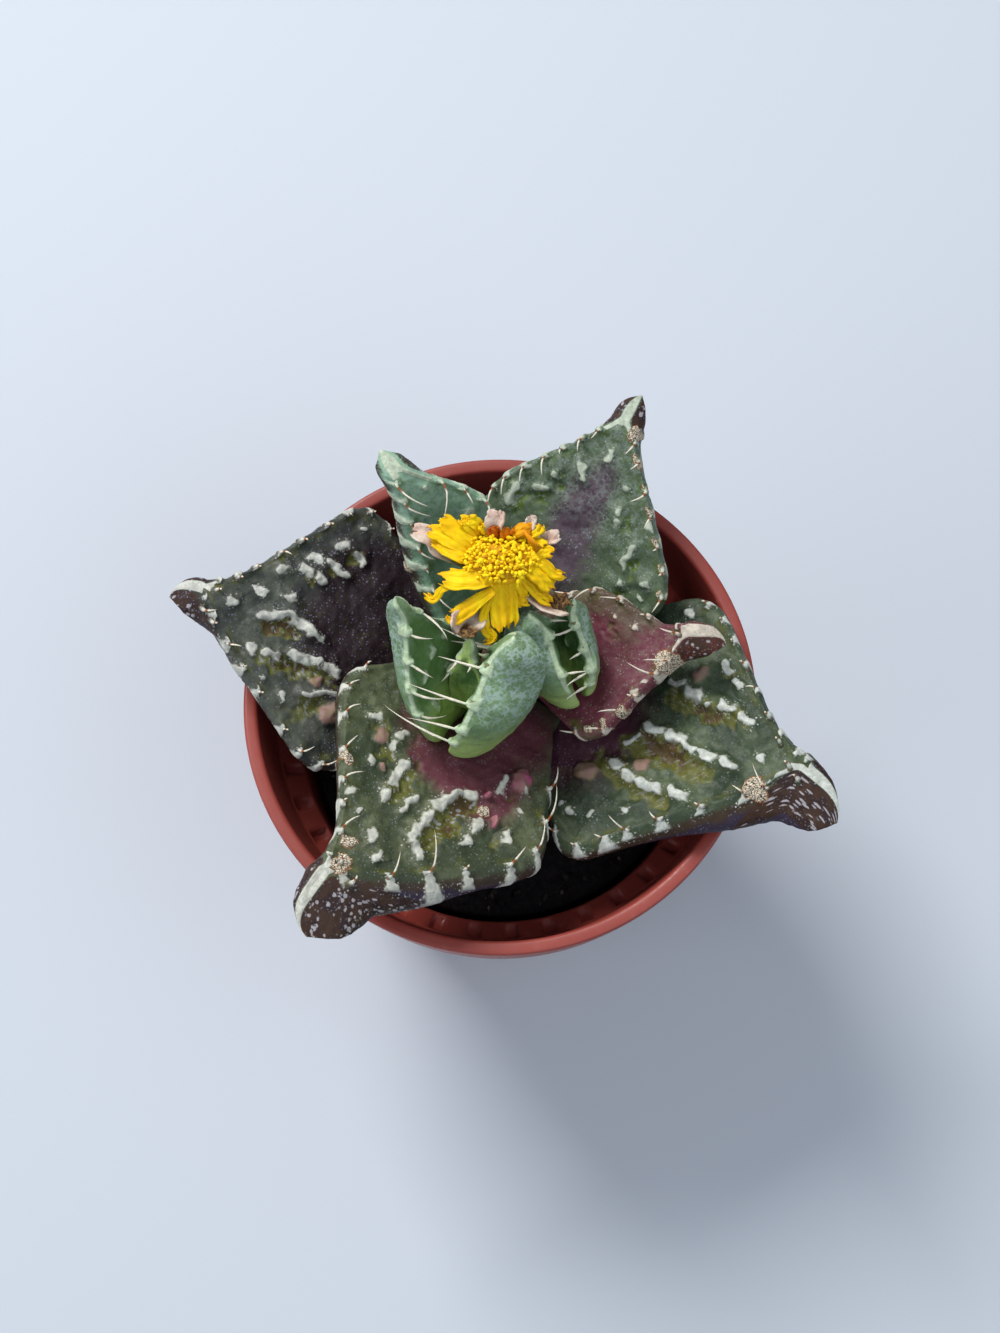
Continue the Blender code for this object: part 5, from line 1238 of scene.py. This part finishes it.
def petalSkin():
    made, tree, shader = newMaterial("limpPetals", rough=0.55, specular=0.15)
    lanes = tree.nodes.new("ShaderNodeCombineXYZ")
    plug(tree, lanes.inputs[0], product(tree, field(tree, "across"), 5.0))
    plug(tree, lanes.inputs[1], product(tree, field(tree, "along"), 1.3))
    noise = tree.nodes.new("ShaderNodeTexNoise")
    plug(tree, noise.inputs["Vector"], lanes.outputs[0])
    noise.inputs["Scale"].default_value = 1.6
    noise.inputs["Detail"].default_value = 4
    veins = noise.outputs["Fac"]
    spot = here(tree)
    broad = cloud(tree, spot, 1.4, 3)
    base = mixed(tree, ramp(tree, broad, 0.35, 0.65), (0.80, 0.46, 0.002), (0.82, 0.56, 0.003))
    base = mixed(tree, ramp(tree, veins, 0.50, 0.72, 0.0, 0.30), base, (0.55, 0.42, 0.006))
    tips = product(tree, ramp(tree, field(tree, "along"), 0.72, 1.0), ramp(tree, broad, 0.35, 0.6, 0.1, 0.75))
    base = mixed(tree, tips, base, (0.70, 0.27, 0.004))
    # deeper orange and burnt brown by the share of orange; on the disc under the stamens this is painted shade
    burntAndShade = added(tree, field(tree, "orange"), broad, 0.5)
    base = mixed(tree, ramp(tree, burntAndShade, 0.45, 1.0), base, (0.62, 0.17, 0.004))
    base = mixed(tree, ramp(tree, burntAndShade, 1.05, 1.4), base, (0.34, 0.055, 0.004))
    plug(tree, shader.inputs["Base Color"], base)
    translucent(shader, 0.12, (0.8, 0.5, 0.05))
    bumped(tree, shader, added(tree, cloud(tree, spot, 0.3, 3), veins, 1.2), 0.06, 0.7)
    return made


def makeStamens():
    whole = bmesh.new()
    luck = random.Random(21)
    base = flowerFrame()
    for i in range(flower["anthers"]):
        share = math.sqrt((i + 0.5) / flower["anthers"])
        turn = i * 2.39996 + luck.uniform(-0.35, 0.35)  # the golden angle
        x = flower["spread"][0] * share * math.cos(turn) + luck.uniform(-0.15, 0.15)
        y = flower["spread"][1] * share * math.sin(turn) + luck.uniform(-0.15, 0.15)
        hollow = -0.8 * math.exp(-(((x + 0.6) / 0.7) ** 2) - ((y - 0.2) / 0.6) ** 2)
        z = 1.25 * (1 - share**2.2) - 0.35 + hollow + luck.uniform(-0.35, 0.35)
        tilt = Matrix.Rotation(luck.uniform(-1.1, 1.1), 4, "X") @ Matrix.Rotation(luck.uniform(-1.1, 1.1), 4, "Y")
        size = luck.uniform(0.8, 1.15)
        bm = bmesh.new()
        shade = bm.verts.layers.float.new("shade")
        spot = base @ Matrix.Translation((x, y, z)) @ tilt
        head = spot @ Matrix.Diagonal((0.21 * size, 0.17 * size, 0.30 * size, 1))
        bmesh.ops.create_uvsphere(bm, u_segments=7, v_segments=5, radius=1, matrix=head)
        thread = spot @ Matrix.Translation((0, 0, -0.5))
        bmesh.ops.create_cone(bm, cap_ends=True, segments=4, radius1=0.05, radius2=0.05, depth=0.6, matrix=thread)
        tone = luck.random() ** 2 + (0.8 if hollow < -0.35 else 0)
        for vert in bm.verts:
            vert[shade] = tone
        gather(whole, bm)
    bm = bmesh.new()
    shade = bm.verts.layers.float.new("shade")
    for vert in pillow(bm, (0, 0, -0.7), (3.5, 2.9, 1.25), 32, 16):
        vert[shade] = 1.6
    gather(whole, bm)
    return place("dryStamens", finishMesh(whole, "dryStamens"), ["flower_stamens"])


def stamenSkin():
    made, tree, shader = newMaterial("dryStamens", rough=0.6, specular=0.15)
    fine = cloud(tree, here(tree), 0.3, 3)
    shade = field(tree, "shade")
    base = mixed(tree, ramp(tree, added(tree, shade, fine, 0.5), 0.2, 1.3), (0.90, 0.66, 0.010), (0.80, 0.48, 0.006))
    base = mixed(tree, ramp(tree, shade, 0.9, 1.6), base, (0.52, 0.25, 0.006))
    plug(tree, shader.inputs["Base Color"], base)
    translucent(shader, 0.1, (0.5, 0.35, 0.05))
    bumped(tree, shader, fine, 0.04, 0.5)
    return made


def makeCalyx():
    # dry sepals round a cup on a short stalk
    bm, layers = straps(sepals, sepalMake)
    ahead = (flowerFrame().to_3x3() @ Vector((0, 0, 1))).normalized()
    foot = Vector((stem["centre"][0], stem["centre"][1] + 0.4, stem["top"] + 0.1))
    neck = Vector(flower["centre"]) - ahead * stalk["neck"]
    path = [foot, foot + Vector((0, 0, 1.2))]
    path += [foot.lerp(neck, t) + Vector((0, 0, 0.6 * (1 - t))) for t in stalk["bends"]]
    path += [neck + ahead * k for k in stalk["cup"]]
    tube(bm, path, stalk["radii"], stalk["sides"])
    return place("dryCalyx", finishMesh(bm, "dryCalyx"), ["flower_calyx"])


def calyxSkin():
    made, tree, shader = newMaterial("dryCalyx", rough=0.7, specular=0.25)
    spot = here(tree)
    fine, broad = cloud(tree, spot, 0.35, 4, 0.65), cloud(tree, spot, 1.6, 3)
    along, side = field(tree, "along"), sums(tree, "ABSOLUTE", field(tree, "across"))
    paper = mixed(tree, ramp(tree, broad, 0.35, 0.65), (0.56, 0.40, 0.33), (0.62, 0.55, 0.47))
    paper = mixed(tree, ramp(tree, fine, 0.5, 0.72, 0.0, 0.5), paper, (0.34, 0.17, 0.11))
    green = mixed(tree, ramp(tree, broad, 0.4, 0.6), (0.10, 0.14, 0.03), (0.16, 0.19, 0.07))
    base = mixed(tree, ramp(tree, added(tree, along, fine, 0.3), 0.25, 0.6), green, paper)
    # the hollow of a curled sepal is dark and cracked, and its tip dry brown
    hollow = ramp(tree, added(tree, side, fine, 0.3), 0.75, 0.95, 1.0, 0.0)
    hollow = product(tree, ramp(tree, field(tree, "orange"), 0.8, 0.9), hollow)
    hollow = product(tree, hollow, ramp(tree, along, 0.45, 0.65))
    base = mixed(tree, hollow, base, mixed(tree, ramp(tree, fine, 0.4, 0.6), (0.022, 0.007, 0.006), (0.20, 0.11, 0.03)))
    base = mixed(tree, ramp(tree, added(tree, along, fine, 0.1), 0.97, 1.02, 0.0, 0.8), base, (0.10, 0.08, 0.03))
    plug(tree, shader.inputs["Base Color"], base)
    translucent(shader, 0.08, (0.8, 0.5, 0.4))
    bumped(tree, shader, fine, 0.12, 0.8)
    return made


dress(makeCalyx(), calyxSkin())
dress(makePetals(), petalSkin())
dress(makeStamens(), stamenSkin())
print("flower laid")

bm = bmesh.new()
bmesh.ops.create_grid(bm, x_segments=1, y_segments=1, size=studio["floorHalf"])
floorMesh = bpy.data.meshes.new("floor")
bm.to_mesh(floorMesh)
bm.free()
floor = bpy.data.objects.new("floor", floorMesh)
scene.collection.objects.link(floor)
paint, tree, shader = newMaterial("paleFloor", rough=0.8, specular=0.2)
shader.inputs["Base Color"].default_value = studio["floor"]
dress(floor, paint)
print("floor laid")
